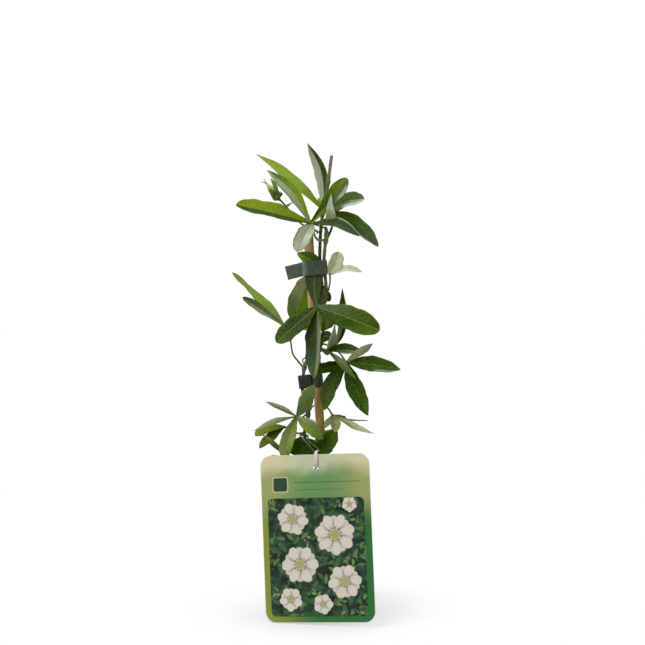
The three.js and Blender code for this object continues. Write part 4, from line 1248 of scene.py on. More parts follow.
def card_back():
    """The card's back: a plain pale green wash with a wide border, lightly rubbed."""
    skin = Skin("card_back", 0.42, 0.4)
    across, up, _ = skin.split(skin.place())
    rub = skin.grain(skin.object_place(), 700.0)
    wash = skin.mix(skin.range(up, 0, 136), "#bcd3a0", "#e9ecd3")
    panel = skin.mix(skin.box(across, up, (-38, 38, 8, 112), 4, 0.5) * 0.6, wash, "#f4f4ea")
    return skin.cover(skin.mix(rub["Scuffs"] * 0.25, panel, "#f6f6f0"), rub["Height"], 0.00002, 0.5)


# The printed flowers: centre across and up the card, radius, turn and number of petals.
BLOSSOMS = [
    ((-20, 84), 13.5, 0.2, 6), ((15, 71), 17.5, 0.6, 7), ((-15, 47), 16.0, 0.0, 6), ((22, 33), 14.5, 0.9, 6),
    ((-24, 19), 10.0, 0.4, 5), ((3, 15), 8.5, 0.1, 5), ((28, 95), 6.5, 0.3, 5),
]
# The printed thicket, from the back: where its pattern starts, the size of its leaves, their dark
# and light green, and the level above which they cover what is behind.
THICKET = [
    ((3, 9, 0), 15.0, "#20382b", "#3c5f47", 0.3), ((41, 17, 0), 10.0, "#274a33", "#567f4b", 0.42),
    ((83, 55, 0), 7.0, "#335c35", "#7fa556", 0.5), ((17, 71, 0), 5.0, "#3f6b3a", "#a2ba74", 0.56),
]
# The thin rules above the picture: left, right, low and high edge on the card.
RULES = [(-18, 38, 113.2, 114.0), (-18, 24, 107.2, 107.8)]


def printed_picture(skin, place):
    """Scattered leaves in four depths, then the flowers."""
    picture = skin.mix(skin.range(skin.noise(place, 0.08, 3), 0.35, 0.65), "#15241d", "#2c4435")
    for shift, size, dark, light, cover in THICKET:
        layer = skin.group(foliage_group(), Place=skin.vector("ADD", place, shift), Size=size)
        green = skin.mix(layer["Light"], dark, light)
        clump = skin.noise(skin.vector("ADD", place, shift), 0.06, 3)
        shown = layer["Leaves"] * skin.range(clump, cover - 0.05, cover + 0.05)
        picture = skin.mix(shown, picture, green)
    for centre, radius, turn, petals in BLOSSOMS:
        drawn = skin.group(blossom_group(), Place=place, Centre=(*centre, 0), Radius=float(radius), Turn=turn,
                           Petals=float(petals))
        picture = skin.mix(drawn["Petals"], picture, skin.mix(drawn["Shade"], "#8f8a68", "#f7f0e0"))
        picture = skin.mix(drawn["Dots"] * 0.8, picture, "#84573a")
        picture = skin.mix(drawn["Heart"] * 0.9, picture, "#bcbf6c")
    return picture


def card_front(colours):
    """The printed face: a green wash with a picture panel of generic garden flowers, two
    plain rules and a plain block."""
    skin = Skin("card_print", 0.3, 0.45)
    place = skin.place()
    across, up, _ = skin.split(place)

    # The wash: cream at the top, sage across the middle, then yellow-green on the left and
    # deep green on the right.
    rise = up + (skin.noise(place, 0.03, 2) - 0.5) * 22.0
    low = skin.mix(skin.range(across, -46, 2), "#98a642", (*colours.card_dark, 1))
    side = skin.range(abs(across + -2.0), 6, 44)
    high = skin.mix(side, (*colours.card_light, 1), "#f2e8b8")
    wash = skin.mix(skin.range(rise, 80, 106), low, skin.mix(side, "#78a664", "#afbb72"))
    wash = skin.mix(skin.range(rise, 116, 132), wash, high)

    panel = skin.box(across, up, (-41, 40.5, 5, 101), 4.5, 0.25)
    printed = skin.mix(panel, wash, printed_picture(skin, place))
    for edges in RULES:
        printed = skin.mix(skin.box(across, up, edges, 0.3, 0.15) * 0.75, printed, "#3d6a3f")
    block_edge = skin.box(across, up, (-36.4, -22.6, 105.4, 118.6), 2.4, 0.2) * 0.8
    printed = skin.mix(block_edge, printed, "#dcdcb4")
    printed = skin.mix(skin.box(across, up, (-35.4, -23.6, 106.4, 117.6), 1.8, 0.2), printed, "#35523a")

    # A thin unprinted margin, and a paper tooth too fine to see from afar.
    sheet = skin.box(across, up, (-45.7, 45.9, 0.35, 135.9), 8.8, 0.25)
    printed = skin.mix(sheet, "#f1f1e6", printed)
    tooth = skin.grain(skin.object_place(), 800.0)
    rough = skin.range(tooth["Scuffs"], 0, 1, 0.3, 0.45)
    return skin.cover(printed, tooth["Height"], 0.00002, 0.5, rough)


# ---------------------------------------------------------------- pieces


class VINE_OT_studio(Operator):
    """Lays the pale floor, lights the plant softly and sets the camera"""

    bl_idname = "vine.studio"
    bl_label = "Studio"

    def execute(self, context):
        scene = context.scene
        half = scene.vine_sizes.floor_size
        mesh = bpy.data.meshes.new("floor")
        corners = [(-half, -half, 0), (half, -half, 0), (half, half, 0), (-half, half, 0)]
        mesh.from_pydata(corners, [], [(0, 1, 2, 3)])
        mesh.materials.append(self.floor_paint())
        stand("floor", mesh)
        for name, place, size, watts in LAMPS:
            self.lamp(name, place, size, watts)
        self.sky(scene)
        self.camera(scene)
        scene.view_settings.view_transform = "Standard"
        return {"FINISHED"}

    def floor_paint(self):
        """Matt white near the plant, fading to an even white further off."""
        material = bpy.data.materials.new("floor_paint")
        nodes = empty_nodes(material)
        matt = nodes.wire("ShaderNodeBsdfDiffuse", {"Color": (0.93, 0.93, 0.93, 1)})
        direct = nodes.wire("ShaderNodeLightPath", key="Is Camera Ray")
        glow = {"Color": "#ffffff", "Strength": nodes.range(direct, 0.0, 1.0, 0.4, 1.0)}
        even = nodes.wire("ShaderNodeEmission", glow)
        fade = nodes.range(nodes.vector("LENGTH", nodes.object_place()), 0.05, 0.13, 0.5, 1.0)
        both = nodes.wire("ShaderNodeMixShader", {0: fade, 1: matt, 2: even})
        nodes.add("ShaderNodeOutputMaterial", {"Surface": both})
        return material

    def lamp(self, name, place, size, watts):
        disc = bpy.data.lights.new(name, "AREA")
        disc.shape, disc.size, disc.energy = "DISK", size, watts
        holder = stand(name, disc)
        holder.location = place
        aim = Vector(LAMP_AIM) - Vector(place)
        holder.rotation_euler = aim.to_track_quat("-Z", "Y").to_euler()

    def sky(self, scene):
        """White behind the plant, and a light on it that is softer from the front."""
        scene.world = bpy.data.worlds.new("studio_light")
        nodes = empty_nodes(scene.world)
        behind = nodes.split(nodes.wire("ShaderNodeTexCoord", key="Generated"))[1]
        strength = nodes.range(behind, -0.5, 0.7, 0.1, 0.8)
        seen, cast = (
            nodes.wire("ShaderNodeBackground", {"Color": "#ffffff", "Strength": s}) for s in (1.02, strength))
        direct = nodes.wire("ShaderNodeLightPath", key="Is Camera Ray")
        both = nodes.wire("ShaderNodeMixShader", {0: direct, 1: cast, 2: seen})
        nodes.add("ShaderNodeOutputWorld", {"Surface": both})

    def camera(self, scene):
        lens = bpy.data.cameras.new("camera")
        lens.lens, lens.sensor_width = CAMERA["lens"], CAMERA["sensor"]
        scene.camera = stand("camera", lens)
        scene.camera.location = CAMERA["place"]
        scene.camera.rotation_euler = (math.radians(CAMERA["tilt"]), 0, 0)


class VINE_OT_cane(Operator):
    """Builds the bamboo cane with its joints and hollow top"""

    bl_idname = "vine.cane"
    bl_label = "Bamboo Cane"

    # Where rings lie closer, before and after a joint, in millimetres.
    JOINT_RINGS = (-4, -2.5, -1.5, -0.9, -0.5, -0.2, 0, 0.2, 0.5, 0.9, 1.5, 2.5, 4)
    # The cut top as (share of the radius, depth): a narrow chamfer, the wall's end, the hollow.
    CUT_TOP = ((0.96, 0), (0.5, 0), (0.47, 0.6), (0.44, 6))

    def girth(self, share, length):
        """The radius at a share of the length, and how much of a joint's dark band is there."""
        radius = CANE["foot_radius"] + (CANE["top_radius"] - CANE["foot_radius"]) * share
        mark = 0.0
        for joint in CANE["joints"]:
            off = (share - joint) * length
            radius += 0.5 * math.exp(-((off / 1.6) ** 2)) - 0.55 * math.exp(-((off / 0.28) ** 2))
            radius += 0.15 * math.exp(-(((off + 0.8) / 0.3) ** 2))
            mark = max(mark, math.exp(-((off / 0.8) ** 2)))
        return radius, mark

    def execute(self, context):
        foot, top = (np.array(CANE[k], float) for k in ("foot", "top"))
        length = np.linalg.norm(top - foot)
        sides = 48
        angle = angles(sides)
        shares = set(np.linspace(0, 1, 90))
        for joint in CANE["joints"]:
            shares |= {joint + off / length for off in self.JOINT_RINGS}

        def ring(radius, height):
            return np.stack([radius * np.cos(angle), radius * np.sin(angle), np.full(sides, height)], 1)

        rings, marks = [], []
        for share in sorted(s for s in shares if 0 <= s <= 1):
            radius, mark = self.girth(share, length)
            wide = radius + 0.05 * np.sin(2 * angle + share * 9) + 0.04 * np.sin(3 * angle - share * 14)
            rings.append(ring(wide, share * length))
            marks.append(mark)
            if share == 0:
                foot_ring = ring(wide * 0.93, 0)
                rings[0][:, 2] = 0.25
        rings += [ring(wide * scale, length - depth) for scale, depth in self.CUT_TOP]
        rings = np.array([foot_ring, *rings])
        marks = np.array([0, *marks, *[0] * len(self.CUT_TOP)])
        turn = np.array(Vector((0, 0, 1)).rotation_difference(Vector((top - foot) / length)).to_matrix())
        shape = Shape()
        faces = grid_faces(len(rings), sides) + end_caps(len(rings), sides)[::-1]
        shape.add_rings(rings @ turn.T + foot, faces, rings[..., 2], angle, marks[:, None])
        cut_faces = len(self.CUT_TOP) * sides + 2
        shape.skins[-cut_faces:] = [1] * cut_faces
        skins = [bamboo_skin(context.scene.vine_colours), cut_wood()]
        shape.build("bamboo_cane", skins, "bamboo", "cane")
        return {"FINISHED"}


class VINE_OT_pot(Operator):
    """Builds the thin moulded pot with its rim, step, rounded foot and drain holes"""

    bl_idname = "vine.pot"
    bl_label = "Pot"

    def execute(self, context):
        base, wall_top, rim = POT["base_radius"], POT["wall_radius"], POT["rim_radius"]
        height, wall, floor = POT["height"], POT["wall"], POT["floor"]
        step = height - POT["rim_height"]
        slope = (wall_top - base) / step
        outer = [(base - 1.2, 0.0), (base - 0.4, 0.15), (base, 0.8)]
        for z in np.linspace(2, step - 2, 26):
            groove = 0.22 if 10 < z < 11.5 else 0.0
            outer.append((base + slope * z - groove, float(z)))
        outer += [
            (wall_top, step - 0.4), (wall_top + 0.3, step), (rim - 0.6, step + 0.1), (rim - 0.1, step + 0.5),
            (rim, step + 1.2), (rim, height - 1.4), (rim - 0.15, height - 0.6), (rim - 0.7, height),
        ]
        inner = [
            (rim - 1.7, height), (rim - 2.3, height - 0.4), (rim - POT["rim_wall"], height - 1.1),
            (wall_top - wall + 0.6, step + 0.6), (wall_top - wall, step),
            *((base - wall + slope * z, float(z)) for z in np.linspace(step - 6, floor + 3, 12)),
            (base - wall, floor + 0.6), (base - wall - 0.6, floor),
        ]
        shape = Shape()
        shape.add(*lathe([(0, 0), (6, 0), (14, 0), *outer, *inner, (14, floor), (6, floor), (0, floor)], 144))
        piece = shape.build("moulded_pot", [pot_skin(context.scene.vine_colours)], "pot", "pot")
        x, y = POT["centre"]
        piece.data.transform(Matrix.Translation((x * MM, y * MM, 0)))
        reach = POT["drain_circle"]
        for angle in angles(POT["drain_holes"]):
            self.drain(piece, x + reach * math.cos(angle), y + reach * math.sin(angle))
        return {"FINISHED"}

    def drain(self, piece, x, y):
        """Cuts a round drain hole through the floor."""
        bpy.ops.mesh.primitive_cylinder_add(
            vertices=32, radius=POT["drain_radius"] * MM, depth=3 * POT["floor"] * MM,
            location=(x * MM, y * MM, 0.5 * POT["floor"] * MM))
        cutter = bpy.context.object
        trim = piece.modifiers.new("drain", "BOOLEAN")
        trim.object = cutter
        trim.solver = "EXACT"
        with bpy.context.temp_override(object=piece, active_object=piece, selected_objects=[piece]):
            bpy.ops.object.modifier_apply(modifier=trim.name)
        bpy.data.objects.remove(cutter)


class VINE_OT_soil(Operator):
    """Fills the pot with lumpy potting soil, crumbs, grit and bits of bark"""

    bl_idname = "vine.soil"
    bl_label = "Potting Soil"

    # Where no crumb lies, round the cane and the stem: the middle and the radius.
    KEPT_CLEAR = (((5.4, 0), 5.2), ((-8.2, 0.4), 2.4))

    def surface(self, x, y, radius, lumps):
        """The soil's height over the plan, with the pot's axis as the middle."""
        mound = SOIL["surface"] + SOIL["mound"] * (1 - radius / POT["wall_radius"])
        return mound + lumps * noise.fractal(Vector((x * 0.11, y * 0.11, 0.4)), 0.9, 2.1, 5)

    def execute(self, context):
        sizes, colours = context.scene.vine_sizes, context.scene.vine_colours
        lumps = sizes.soil_lumps / MM
        slope = (POT["wall_radius"] - POT["base_radius"]) / (POT["height"] - POT["rim_height"] - POT["floor"])

        def inner(z):
            """The pot's inner radius at a height, with a little room."""
            return POT["base_radius"] - POT["wall"] + slope * (z - POT["floor"]) - 0.3

        brim = inner(SOIL["surface"]) - 0.2
        sides = 160
        angle = angles(sides)
        rows = []
        for z, shrink in ((POT["floor"] + 0.4, 0.5), (30, 0.2), (55, 0.2), (SOIL["surface"] - 2.5, 0.2)):
            radius = inner(z) - shrink
            rows.append([(radius * math.cos(a), radius * math.sin(a), z) for a in angle])
        for share in np.linspace(1, 0.02, 60):
            radius = brim * share
            sunk = 1.6 * max(0, share - 0.94) / 0.06
            spots = [(radius * math.cos(a), radius * math.sin(a)) for a in angle]
            rows.append([(x, y, self.surface(x, y, radius, lumps) - sunk) for x, y in spots])
        shape = Shape()
        middle = np.array((*POT["centre"], 0))
        shape.add(np.array(rows).reshape(-1, 3) + middle, capped(len(rows), sides))
        self.scatter(shape, sizes.soil_crumbs, brim, lumps, middle)
        shape.build("potting_soil", [soil_skin(colours), grit_skin()], "soil", "soil")
        return {"FINISHED"}

    def scatter(self, shape, count, brim, lumps, middle):
        """Sets loose crumbs, pale grit and bark chips half into the surface."""
        draw = random.Random(11)
        for _ in range(count):
            a, r = draw.uniform(0, 2 * math.pi), brim * 0.93 * math.sqrt(draw.random())
            x, y = r * math.cos(a), r * math.sin(a)
            spot = np.array((x, y)) + middle[:2]
            if any(math.dist(spot, clear) < room for clear, room in self.KEPT_CLEAR):
                continue
            kind = draw.random()
            if kind < 0.08:
                tone, size, squash, skin = (0.75, 0.74, 0.7), draw.uniform(0.5, 1.1), (1, 0.9, 0.8), 1
            elif kind < 0.2:
                tone, size, squash, skin = (0.19, 0.11, 0.06), draw.uniform(1.0, 2.0), (1.6, 0.7, 0.35), 1
            else:
                shade = draw.uniform(0.7, 1.6)
                tone, size, squash, skin = (shade,) * 3, draw.uniform(0.35, 1.2), (1, 0.9, 0.75), 0
            points, faces, _ = lathe(ball(size, 5), 8)
            points *= squash
            points *= (1 + 0.22 * np.array([draw.uniform(-1, 1) for _ in points]))[:, None]
            points = points @ turned(draw.uniform(0, math.pi), "Z").T
            z = self.surface(x, y, r, lumps) + 0.2 * size * squash[2]
            tones = np.tile((*tone, 1.0), (len(points), 1))
            shape.add(points + np.array((x, y, z)) + middle, faces, None, tones, skin)


def turned(angle, axis):
    """A turn about one axis, as a square of numbers."""
    return np.array(Matrix.Rotation(angle, 3, axis))


def arc(x, y, radius, first, sweep, count):
    """Points on an arc, from its first angle in degrees through a sweep."""
    turns = [math.radians(first + sweep * k / count) for k in range(count + 1)]
    return [(x + radius * math.cos(a), y + radius * math.sin(a)) for a in turns]


def rounded_box(left, right, front, back, corner, count):
    """Points round a box with round corners, against the clock from its front right."""
    left, right, front, back = left + corner, right - corner, front + corner, back - corner
    turns = ((right, front, -90), (right, back, 0), (left, back, 90), (left, front, 180))
    return [point for x, y, first in turns for point in arc(x, y, corner, first, 90, count)]


def oblong(left, right, front, back, corner):
    """The plan line of a band of tape: a rounded box with points along its straight sides."""
    points = rounded_box(left, right, front, back, corner, 10)
    dense = []
    for (x0, y0), (x1, y1) in zip(points, points[1:] + points[:1]):
        cuts = 6 if math.hypot(x1 - x0, y1 - y0) > 1.5 else 1
        dense += [(x0 + (x1 - x0) * k / cuts, y0 + (y1 - y0) * k / cuts) for k in range(cuts)]
    return dense


def tape(shape, plan, height, thickness, closed, bulge, tone, seed):
    """A band of tape that stands on edge along a plan line, its face a little wavy. tone is one
    for all the band, or a column with one for each point."""
    draw = random.Random(seed)
    plan = np.array(plan, float)
    ahead, behind = np.roll(plan, -1, 0), np.roll(plan, 1, 0)
    if not closed:
        ahead[-1], behind[0] = plan[-1], plan[0]
    way = unit(ahead - behind)
    out = np.stack([way[:, 1], -way[:, 0]], 1)
    along = lengths_along(plan)
    up = np.linspace(-1, 1, 15)
    phase = [draw.uniform(0, 6.3) for _ in range(4)]
    sides = [[], []]
    for far, spot, normal in zip(along, plan, out):
        for v in up:
            wave = math.sin(far * 0.55 + phase[0] + v * 1.7) + 0.6 * math.sin(far * 1.3 + phase[1] - v * 2.2)
            edge = 0.06 * math.sin(far * 0.9 + phase[2]) * abs(v)
            thin = thickness * math.sqrt(max(0.0, 1 - abs(v) ** 8))
            base = spot + normal * (bulge * wave) * (1 - abs(v) ** 3 * 0.5)
            for side, sign in zip(sides, (1, -1)):
                side.append((*(base + sign * normal * thin / 2), v * (height / 2 - 0.1 + edge)))
    rows = len(plan)
    outer, inner = (np.array(side).reshape(rows, len(up), 3) for side in sides)
    rings = np.concatenate([outer, inner[:, -2:0:-1]], axis=1)
    count = rings.shape[1]
    faces = [face[::-1] for face in (grid_faces if closed else capped)(rows, count)]
    if closed:
        last = (rows - 1) * count
        faces += [[last + j, j, (j + 1) % count, last + (j + 1) % count] for j in range(count)]
    shape.add_rings(rings, faces, along[:, None], rings[..., 2], 0, tone)


class VINE_OT_clips(Operator):
    """Folds the two tape clips round the cane and the stems"""

    bl_idname = "vine.clips"
    bl_label = "Tape Clips"

    def execute(self, context):
        skin = tape_skin(context.scene.vine_colours)
        self.upper(skin)
        self.lower(skin)
        return {"FINISHED"}

    def band(self, edges):
        """The middle of the tape, a little inside the clip's outer size."""
        left, right, front, back, corner = edges
        return oblong(left + TAPE_INSET, right - TAPE_INSET, front + TAPE_INSET, back - TAPE_INSET,
                      corner - TAPE_INSET)

    def upper(self, skin):
        """One turn of tape with a free tail of two layers pressed together."""
        clip = UPPER_CLIP
        crease = clip["band"][0] + 1.6
        shape = Shape()
        plan = self.band(clip["band"])
        # Painted highlight along the crease at the front left, and darker at the back.
        tones = [1 + 1.5 * math.exp(-(((x - crease) / 1.5) ** 2)) * (y < 0) - 0.2 * (y > 0) for x, y in plan]
        tape(shape, plan, clip["height"], TAPE_THICKNESS, True, 0.07, np.array(tones)[:, None, None], 3)
        (x0, y0), (x1, y1) = clip["tail"]
        hinge = np.array((x0, 0, 0))
        for layer, reach in ((-0.24, 1.0), (0.24, 0.985)):
            line = [(x0 + (x1 - x0) * t, y0 + (y1 - y0) * t + layer) for t in np.linspace(0, 1, 22) * reach]
            tail = Shape()
            tape(tail, line, clip["height"] - 0.5, 0.4, False, 0.05, (1.16, 1.22, 1.17), 8)
            points = (tail.points[0] - hinge) @ turned(math.radians(clip["tail_droop"]), "Y").T + hinge
            shape.add(points, tail.faces, tail.place[0], tail.tone[0])
        self.hang(shape, clip, skin, "upper")

    def lower(self, skin):
        """A box loop round the stem and a tight ring round the cane."""
        clip = LOWER_CLIP
        shape = Shape()
        left, right, *rest = clip["loop"]
        loop = self.band((left, right + TAPE_INSET, *rest))
        # The loop is the same tape tinted almost black-green: painted shade.
        tape(shape, loop, clip["height"], TAPE_THICKNESS, True, 0.05, (0.26, 0.35, 0.32), 5)
        radius = clip["ring"] - TAPE_INSET
        ring = [(clip["cane_x"] + radius * math.cos(a), radius * math.sin(a)) for a in angles(56)]
        tape(shape, ring, clip["height"], TAPE_THICKNESS, True, 0.04, (0.8, 0.76, 0.64), 6)
        self.hang(shape, clip, skin, "lower")

    def hang(self, shape, clip, skin, which):
        """Tilts the clip, sets it at its place and builds it."""
        turn = turned(math.radians(clip["tilt"]), "Y").T
        shape.points = [points @ turn + np.array(clip["middle"]) for points in shape.points]
        shape.build(f"{which}_tape_clip", [skin], "tape", f"clip_{which}")


def card_turn():
    """The card's turn and place: X across it, -Y out of its printed face, Z up it."""
    turn, lean, roll = (math.radians(CARD[k]) for k in ("turn", "lean", "roll"))
    dip = (CARD["width"] / 2 - CARD["corner"]) * math.sin(roll) + CARD["corner"] * (1 - math.cos(roll))
    way = turned(turn, "Z") @ turned(-lean, "X") @ turned(-roll, "Y")
    return way, np.array((*CARD["foot"], dip + CARD["lift"]))


def on_card(across, out, up):
    turn, foot = card_turn()
    return turn @ np.array((across, -out, up)) + foot


class VINE_OT_card(Operator):
    """Cuts and prints the hanging label card"""

    bl_idname = "vine.card"
    bl_label = "Label Card"

    def rim(self, inset):
        """Points round the card's edge, against the clock seen from the front."""
        half = CARD["width"] / 2 - inset
        return rounded_box(-half, half, inset, CARD["height"] - inset, CARD["corner"] - inset, 24)

    def slot(self, grow):
        x, z = CARD["slot_across"], CARD["slot_up"]
        radius = CARD["slot_height"] / 2 + grow
        half = CARD["slot_width"] / 2 - CARD["slot_height"] / 2
        return arc(x + half, z, radius, -90, 180, 12) + arc(x - half, z, radius, 90, 180, 12)

    def execute(self, context):
        half, soft = CARD["thickness"] / 2, 0.12
        bm = bmesh.new()
        # From the front face to the back one: the rim and the slot at each level.
        levels = ((-half, soft), (-half + soft, 0), (half - soft, 0), (half, soft))
        rings = [
            [[bm.verts.new((x, level, z)) for x, z in line]
             for line in (self.rim(inset), self.slot(soft / 2 if inset else 0))]
            for level, inset in levels
        ]
        for near, far in zip(rings, rings[1:]):
            for inside, first, second in zip((False, True), near, far):
                for k, n in enumerate([*range(1, len(first)), 0]):
                    quad = [first[k], first[n], second[n], second[k]]
                    bm.faces.new(quad if inside else quad[::-1]).material_index = 1
        for loops, material in ((rings[0], 0), (rings[-1], 2)):
            pairs = [pair for loop in loops for pair in zip(loop, loop[1:] + loop[:1])]
            edges = [bm.edges.get(pair) or bm.edges.new(pair) for pair in pairs]
            for face in bmesh.ops.triangle_fill(bm, edges=edges, use_beauty=True)["geom"]:
                if isinstance(face, bmesh.types.BMFace):
                    face.material_index = material
        bmesh.ops.recalc_face_normals(bm, faces=bm.faces)
        mesh = bpy.data.meshes.new("label_card_print")
        bm.to_mesh(mesh)
        bm.free()
        flat = np.array([v.co[:] for v in mesh.vertices])
        place = np.stack([flat[:, 0], flat[:, 2], flat[:, 1] * 0], 1)
        mesh.attributes.new("place", "FLOAT_VECTOR", "POINT").data.foreach_set("vector", place.ravel())
        turn, foot = card_turn()
        mesh.vertices.foreach_set("co", ((flat @ turn.T + foot) * MM).ravel())
        for material in (card_front(context.scene.vine_colours), card_stock(), card_back()):
            mesh.materials.append(material)
        mesh.update()
        replace_node("printed_label_card", mesh, "label_card")
        return {"FINISHED"}


class VINE_OT_tie(Operator):
    """Loops the white strip through the card's slot and round the stem"""

    bl_idname = "vine.tie"
    bl_label = "Label Tie"

    def stations(self):
        """Round the loop from the slot: a place, the way of the width there, and its share."""
        turn, _ = card_turn()
        across, upright, twisted = turn @ np.array((1, 0, 0)), (0, 0, -1), (0.67, 0.31, -0.67)
        slot, up, height = CARD["slot_across"], CARD["slot_up"], CARD["height"]
        return [
            (on_card(slot, 0, up), across, 1),
            (on_card(slot, 1.5, up + 2.4), across, 1.05),
            (on_card(slot + 0.2, 1.3, height - 2), across, 1.05),
            (on_card(slot + 0.2, -0.4, height + 1.8), across, 0.8),
            (on_card(slot - 0.8, -12, height + 3.6), twisted, 0.4),
            ((-9, -22, 145.2), upright, 0.35),
            ((-10.2, -7, 146.6), upright, 0.5),
            ((-9.8, -2.4, 147), upright, 0.8),
            ((-12.8, 0.9, 147.8), upright, 1),
            ((-17.4, -1.8, 149), upright, 0.95),
            ((-16.4, -8, 147.8), upright, 0.8),
            ((-10.8, -20, 143.6), upright, 0.4),
            (on_card(slot - 2, -12, height - 2.4), twisted, 0.4),
            (on_card(slot - 0.2, -2.4, up + 3), across, 0.8),
        ]

    def execute(self, context):
        steps = 16
        spots, widths, spread = zip(*self.stations())
        centre, widths = (Route(row, closed=True, steps=steps).points[:-1] for row in (spots, widths))
        count = len(centre)
        spread = np.interp(np.arange(count) / steps, np.arange(len(spread) + 1), [*spread, spread[0]])
        spread = spread[:, None, None]
        forward = unit(np.roll(centre, -1, 0) - np.roll(centre, 1, 0))
        wide = unit(widths - forward * (widths * forward).sum(1)[:, None])
        out = np.cross(forward, wide)
        # The cross-section: a flat strip with soft edges and a shallow groove along its middle.
        around = angles(24)
        x, y = (
            half * np.copysign(np.abs(wave) ** power, wave)
            for half, wave, power in (
                (TIE["width"] / 2, np.cos(around), 0.35), (TIE["thickness"] / 2, np.sin(around), 0.6)))
        y = y * (1 - 0.25 * np.exp(-((x / 0.35) ** 2)))
        rings = centre[:, None] + wide[:, None] * x[:, None] * spread + out[:, None] * y[:, None]
        total = rings.shape[0] * rings.shape[1]
        faces = [[v % total for v in face][::-1] for face in grid_faces(count + 1, len(around))]
        # Painted shade: the twisted thin lengths are tinted dark green, as if in the leaves' shade.
        plain = np.clip((spread - 0.45) / 0.35, 0, 1)
        tones = np.array((0.17, 0.25, 0.12)) * (1 - plain) + plain
        shape = Shape()
        shape.add_rings(rings, faces, lengths_along(centre)[:, None], x, 0, tones)
        shape.build("white_label_tie", [tie_skin(context.scene.vine_colours)], "tie", "label_tie")
        return {"FINISHED"}


class VINE_OT_stems(Operator):
    """Grows the main stem, the green side shoot and their tendrils"""

    bl_idname = "vine.stems"
    bl_label = "Stems"

    def swollen(self, route, radius, knuckles, swell=0.8, reach=2.6):
        """The stem's radius at a share of its length, thicker where leaves leave it."""
        marks = [route.share_near(k) * route.length for k in knuckles]

        def at(share):
            place = share * route.length
            size = radius * (1 + 0.05 * math.sin(place * 0.7) + 0.04 * math.sin(place * 1.9 + 1))
            return size + swell * sum(math.exp(-(((place - m) / reach) ** 2)) for m in marks)

        return at

    def execute(self, context):
        sizes = context.scene.vine_sizes
        bark = stem_skin("young_bark", "#4d4d31", "#a09f7e", 0.7)
        green = stem_skin("green_shoot", "#516c2c", "#8fa45e", 0.5)

        main = Shape()
        route = Route(MAIN_STEM)
        girth = self.swollen(route, 1.2 * STEM_RADIUS, STEM_KNUCKLES)
        tube(main, route, girth, 20, 420, STEM_TONES.split(), grooves=0.04)
        tube(main, Route(STEM_TENDRIL), lambda s: 0.72 * (1.05 - 0.4 * s), 12, 110, ("shoot", "curl"), 1)
        main.build("main_stem", [bark, green], "bark", "stem_main")

        side = Shape()
        route = Route(SIDE_SHOOT)
        girth = self.swollen(route, 1.3 * SHOOT_RADIUS, [SHOOT_KNUCKLE], 0.7, 2.2)
        tube(side, route, girth, 20, 120, ("shoot", "shoot"), grooves=0.05)
        tube(side, Route(THIN_STALK), lambda s: 1.15 - 0.5 * s, 12, 90, ("ivy", "stalk_dark"), 3)
        tube(side, Route(SHOOT_TENDRIL), lambda s: 1.05 * (1.1 - 0.4 * s), 12, 130, ("spring", "cream"))
        for leaf, start, seed, along, across in SHOOT_BLADES:
            blade(side, leaf, start, sizes, seed, along, across, 2)
        thin = stem_skin("thin_stalk", "#2c3a1a", "#66703f", 0.55)
        skins = [green, bark, leaf_skin("stipule_skin", 0.45, "#a8bd7a", 0.4, 0.15), thin]
        side.build("green_side_shoot", skins, "shoot", "stem_side_shoot")
        return {"FINISHED"}


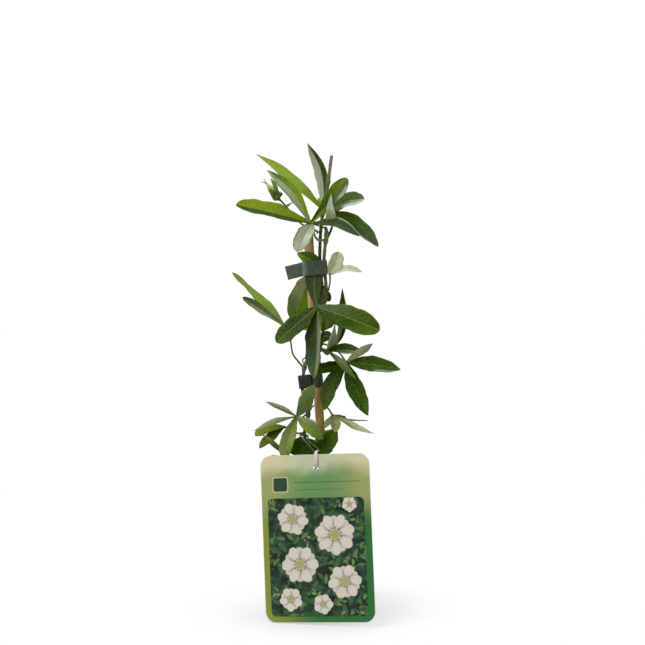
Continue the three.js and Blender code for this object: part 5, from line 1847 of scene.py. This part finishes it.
class VINE_OT_bud(Operator):
    """Shapes the closed flower bud with its sepals, bracts, awns and stalk"""

    bl_idname = "vine.bud"
    bl_label = "Flower Bud"

    def execute(self, context):
        sizes = context.scene.vine_sizes
        base, tip = (np.array(BUD[k], float) for k in ("base", "tip"))
        axis = tip - base
        shape = Shape()
        self.sepals(shape, base, axis)
        for k, (end, width) in enumerate(zip(np.array(BUD["bract_tips"], float), BUD["bract_widths"])):
            share = (end - base) @ axis / (axis @ axis)
            out = unit(end - (base + axis * share))
            bulge = base + (end - base) * 0.5 + out * 1.6 + np.array((0, -1.6, 0))
            face = tuple(np.array((0, -1, 0.1)) - 0.5 * out)
            bract = Lobe([tuple(bulge), tuple(end)], width, face, 14, "long", BUD["bract_tones"][k], 0.6)
            blade(shape, bract, tuple(base), sizes, 40 + k, 30, 8, 1)
        for end in BUD["awns"]:
            awn = Route([base + axis * 0.45, tip, end])
            tube(shape, awn, lambda s: TENDRIL_RADIUS * (3 - 2.4 * s), 10, 34, ("petal", "petal", "spring"))

        def stalk_radius(s):
            return PETIOLE_RADIUS * (1 + 0.1 * math.sin(s * 30)) + 9 * max(0, s - 0.93)

        tube(shape, Route(BUD["stalk"]), stalk_radius, 14, 130, ("shoot", "ivy"), 2)
        bead(shape, BUD["knob"], BUD["knob_radius"], "fern", (1, 0.8, 1), 2)
        blade(shape, STALK_BRACT, (-28, -2.8, 340), sizes, 47, 24, 6, 1)
        skins = [
            leaf_skin("bud_skin", 0.5, "#d8d690", 0.1, 0.18),
            leaf_skin("bract_skin", 0.45, "#a8bd7a", 0.4, 0.15),
            stem_skin("bud_stalk", "#3f5526", "#6f8a48", 0.55),
        ]
        shape.build("passion_flower_bud", skins, "bud", "flower_bud")
        return {"FINISHED"}

    def sepals(self, shape, base, axis):
        """The bud's body: five sepals, with a shallow furrow between each two."""
        length = np.linalg.norm(axis)
        forward = axis / length
        across = unit(np.cross(forward, (0.1, 1, 0.2)))
        over = np.cross(forward, across)
        shares = np.linspace(0, 1, 40)
        girth = smooth_table(BUD["outline"], shares) * BUD["radius"]
        angle = angles(60)
        ridge = 1 - 0.1 * (1 - np.abs(np.cos(2.5 * angle)) ** 0.5)
        rings = (
            base + forward * (shares * length * 1.02 - 0.6)[:, None, None]
            + (girth[:, None] * ridge[None])[..., None] * round_rings(angle, across, over)
        )
        blend = np.clip((shares - 0.46) * 6, 0, 1)[:, None, None]
        tones = TONES["leaf"] * (1 - blend) + TONES["petal"] * blend
        shape.add_rings(rings, capped(*rings.shape[:2]), (shares * length)[:, None], angle, 1, tones)


class VINE_OT_leaves(Operator):
    """Grows every leaf: its stalk, its hub and its lobes with their veins"""

    bl_idname = "vine.leaves"
    bl_label = "Leaves"

    def execute(self, context):
        green = leaf_skin("leaf_skin", 0.42, "#bdcd80", 0.8, 0.045)
        pale = leaf_skin("pale_leaf_skin", 0.5, "#d9e0bf", 0.5, 0.1, 0.3)
        stalk_skin = stem_skin("leaf_stalk", "#4f5a2a", "#84904e", 0.5)
        for number, (name, leaf) in enumerate(LEAVES.items()):
            shape = Shape()
            stalk = Route([*leaf.stalk, leaf.hub])
            steps = max(24, int(stalk.length * 2))
            tube(shape, stalk, lambda s: PETIOLE_RADIUS * (1.15 - 0.25 * math.sin(math.pi * s)), 14, steps,
                 (leaf.stalk_tone, leaf.hub_tone), 1, 0.06)
            bead(shape, leaf.hub, PETIOLE_RADIUS + 0.45, leaf.hub_tone, skin=1)
            for k, lobe in enumerate(leaf.lobes):
                blade(shape, lobe, leaf.hub, context.scene.vine_sizes, 100 * number + k)
            skin, slot = (pale, "pale_blade") if name in PALE_LEAVES else (green, "blade")
            shape.build(f"{name}_blades", [skin, stalk_skin], slot, name)
        return {"FINISHED"}


PIECES = (
    VINE_OT_studio, VINE_OT_cane, VINE_OT_pot, VINE_OT_soil, VINE_OT_clips, VINE_OT_card,
    VINE_OT_tie, VINE_OT_stems, VINE_OT_bud, VINE_OT_leaves,
)


class VINE_PT_panel(Panel):
    """Lists the steps that build the vine, with their sizes and colours"""

    bl_idname = "VINE_PT_panel"
    bl_label = "Passion Flower Vine"
    bl_space_type = "VIEW_3D"
    bl_region_type = "UI"
    bl_category = "Vine"

    def draw(self, context):
        scene = context.scene
        for title, group in (("Sizes", scene.vine_sizes), ("Colours", scene.vine_colours)):
            box = self.layout.box()
            box.label(text=title)
            for name in group.__annotations__:
                box.prop(group, name)
        for piece in PIECES:
            self.layout.operator(piece.bl_idname)


CLASSES = (VineSizes, VineColours, *PIECES, VINE_PT_panel)


def register():
    for one in CLASSES:
        bpy.utils.register_class(one)
    bpy.types.Scene.vine_sizes = PointerProperty(type=VineSizes)
    bpy.types.Scene.vine_colours = PointerProperty(type=VineColours)


def unregister():
    del bpy.types.Scene.vine_colours
    del bpy.types.Scene.vine_sizes
    for one in reversed(CLASSES):
        bpy.utils.unregister_class(one)


def main():
    register()
    for piece in PIECES:
        family, step = piece.bl_idname.split(".")
        getattr(getattr(bpy.ops, family), step)()
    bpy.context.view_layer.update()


if __name__ == "__main__":
    main()
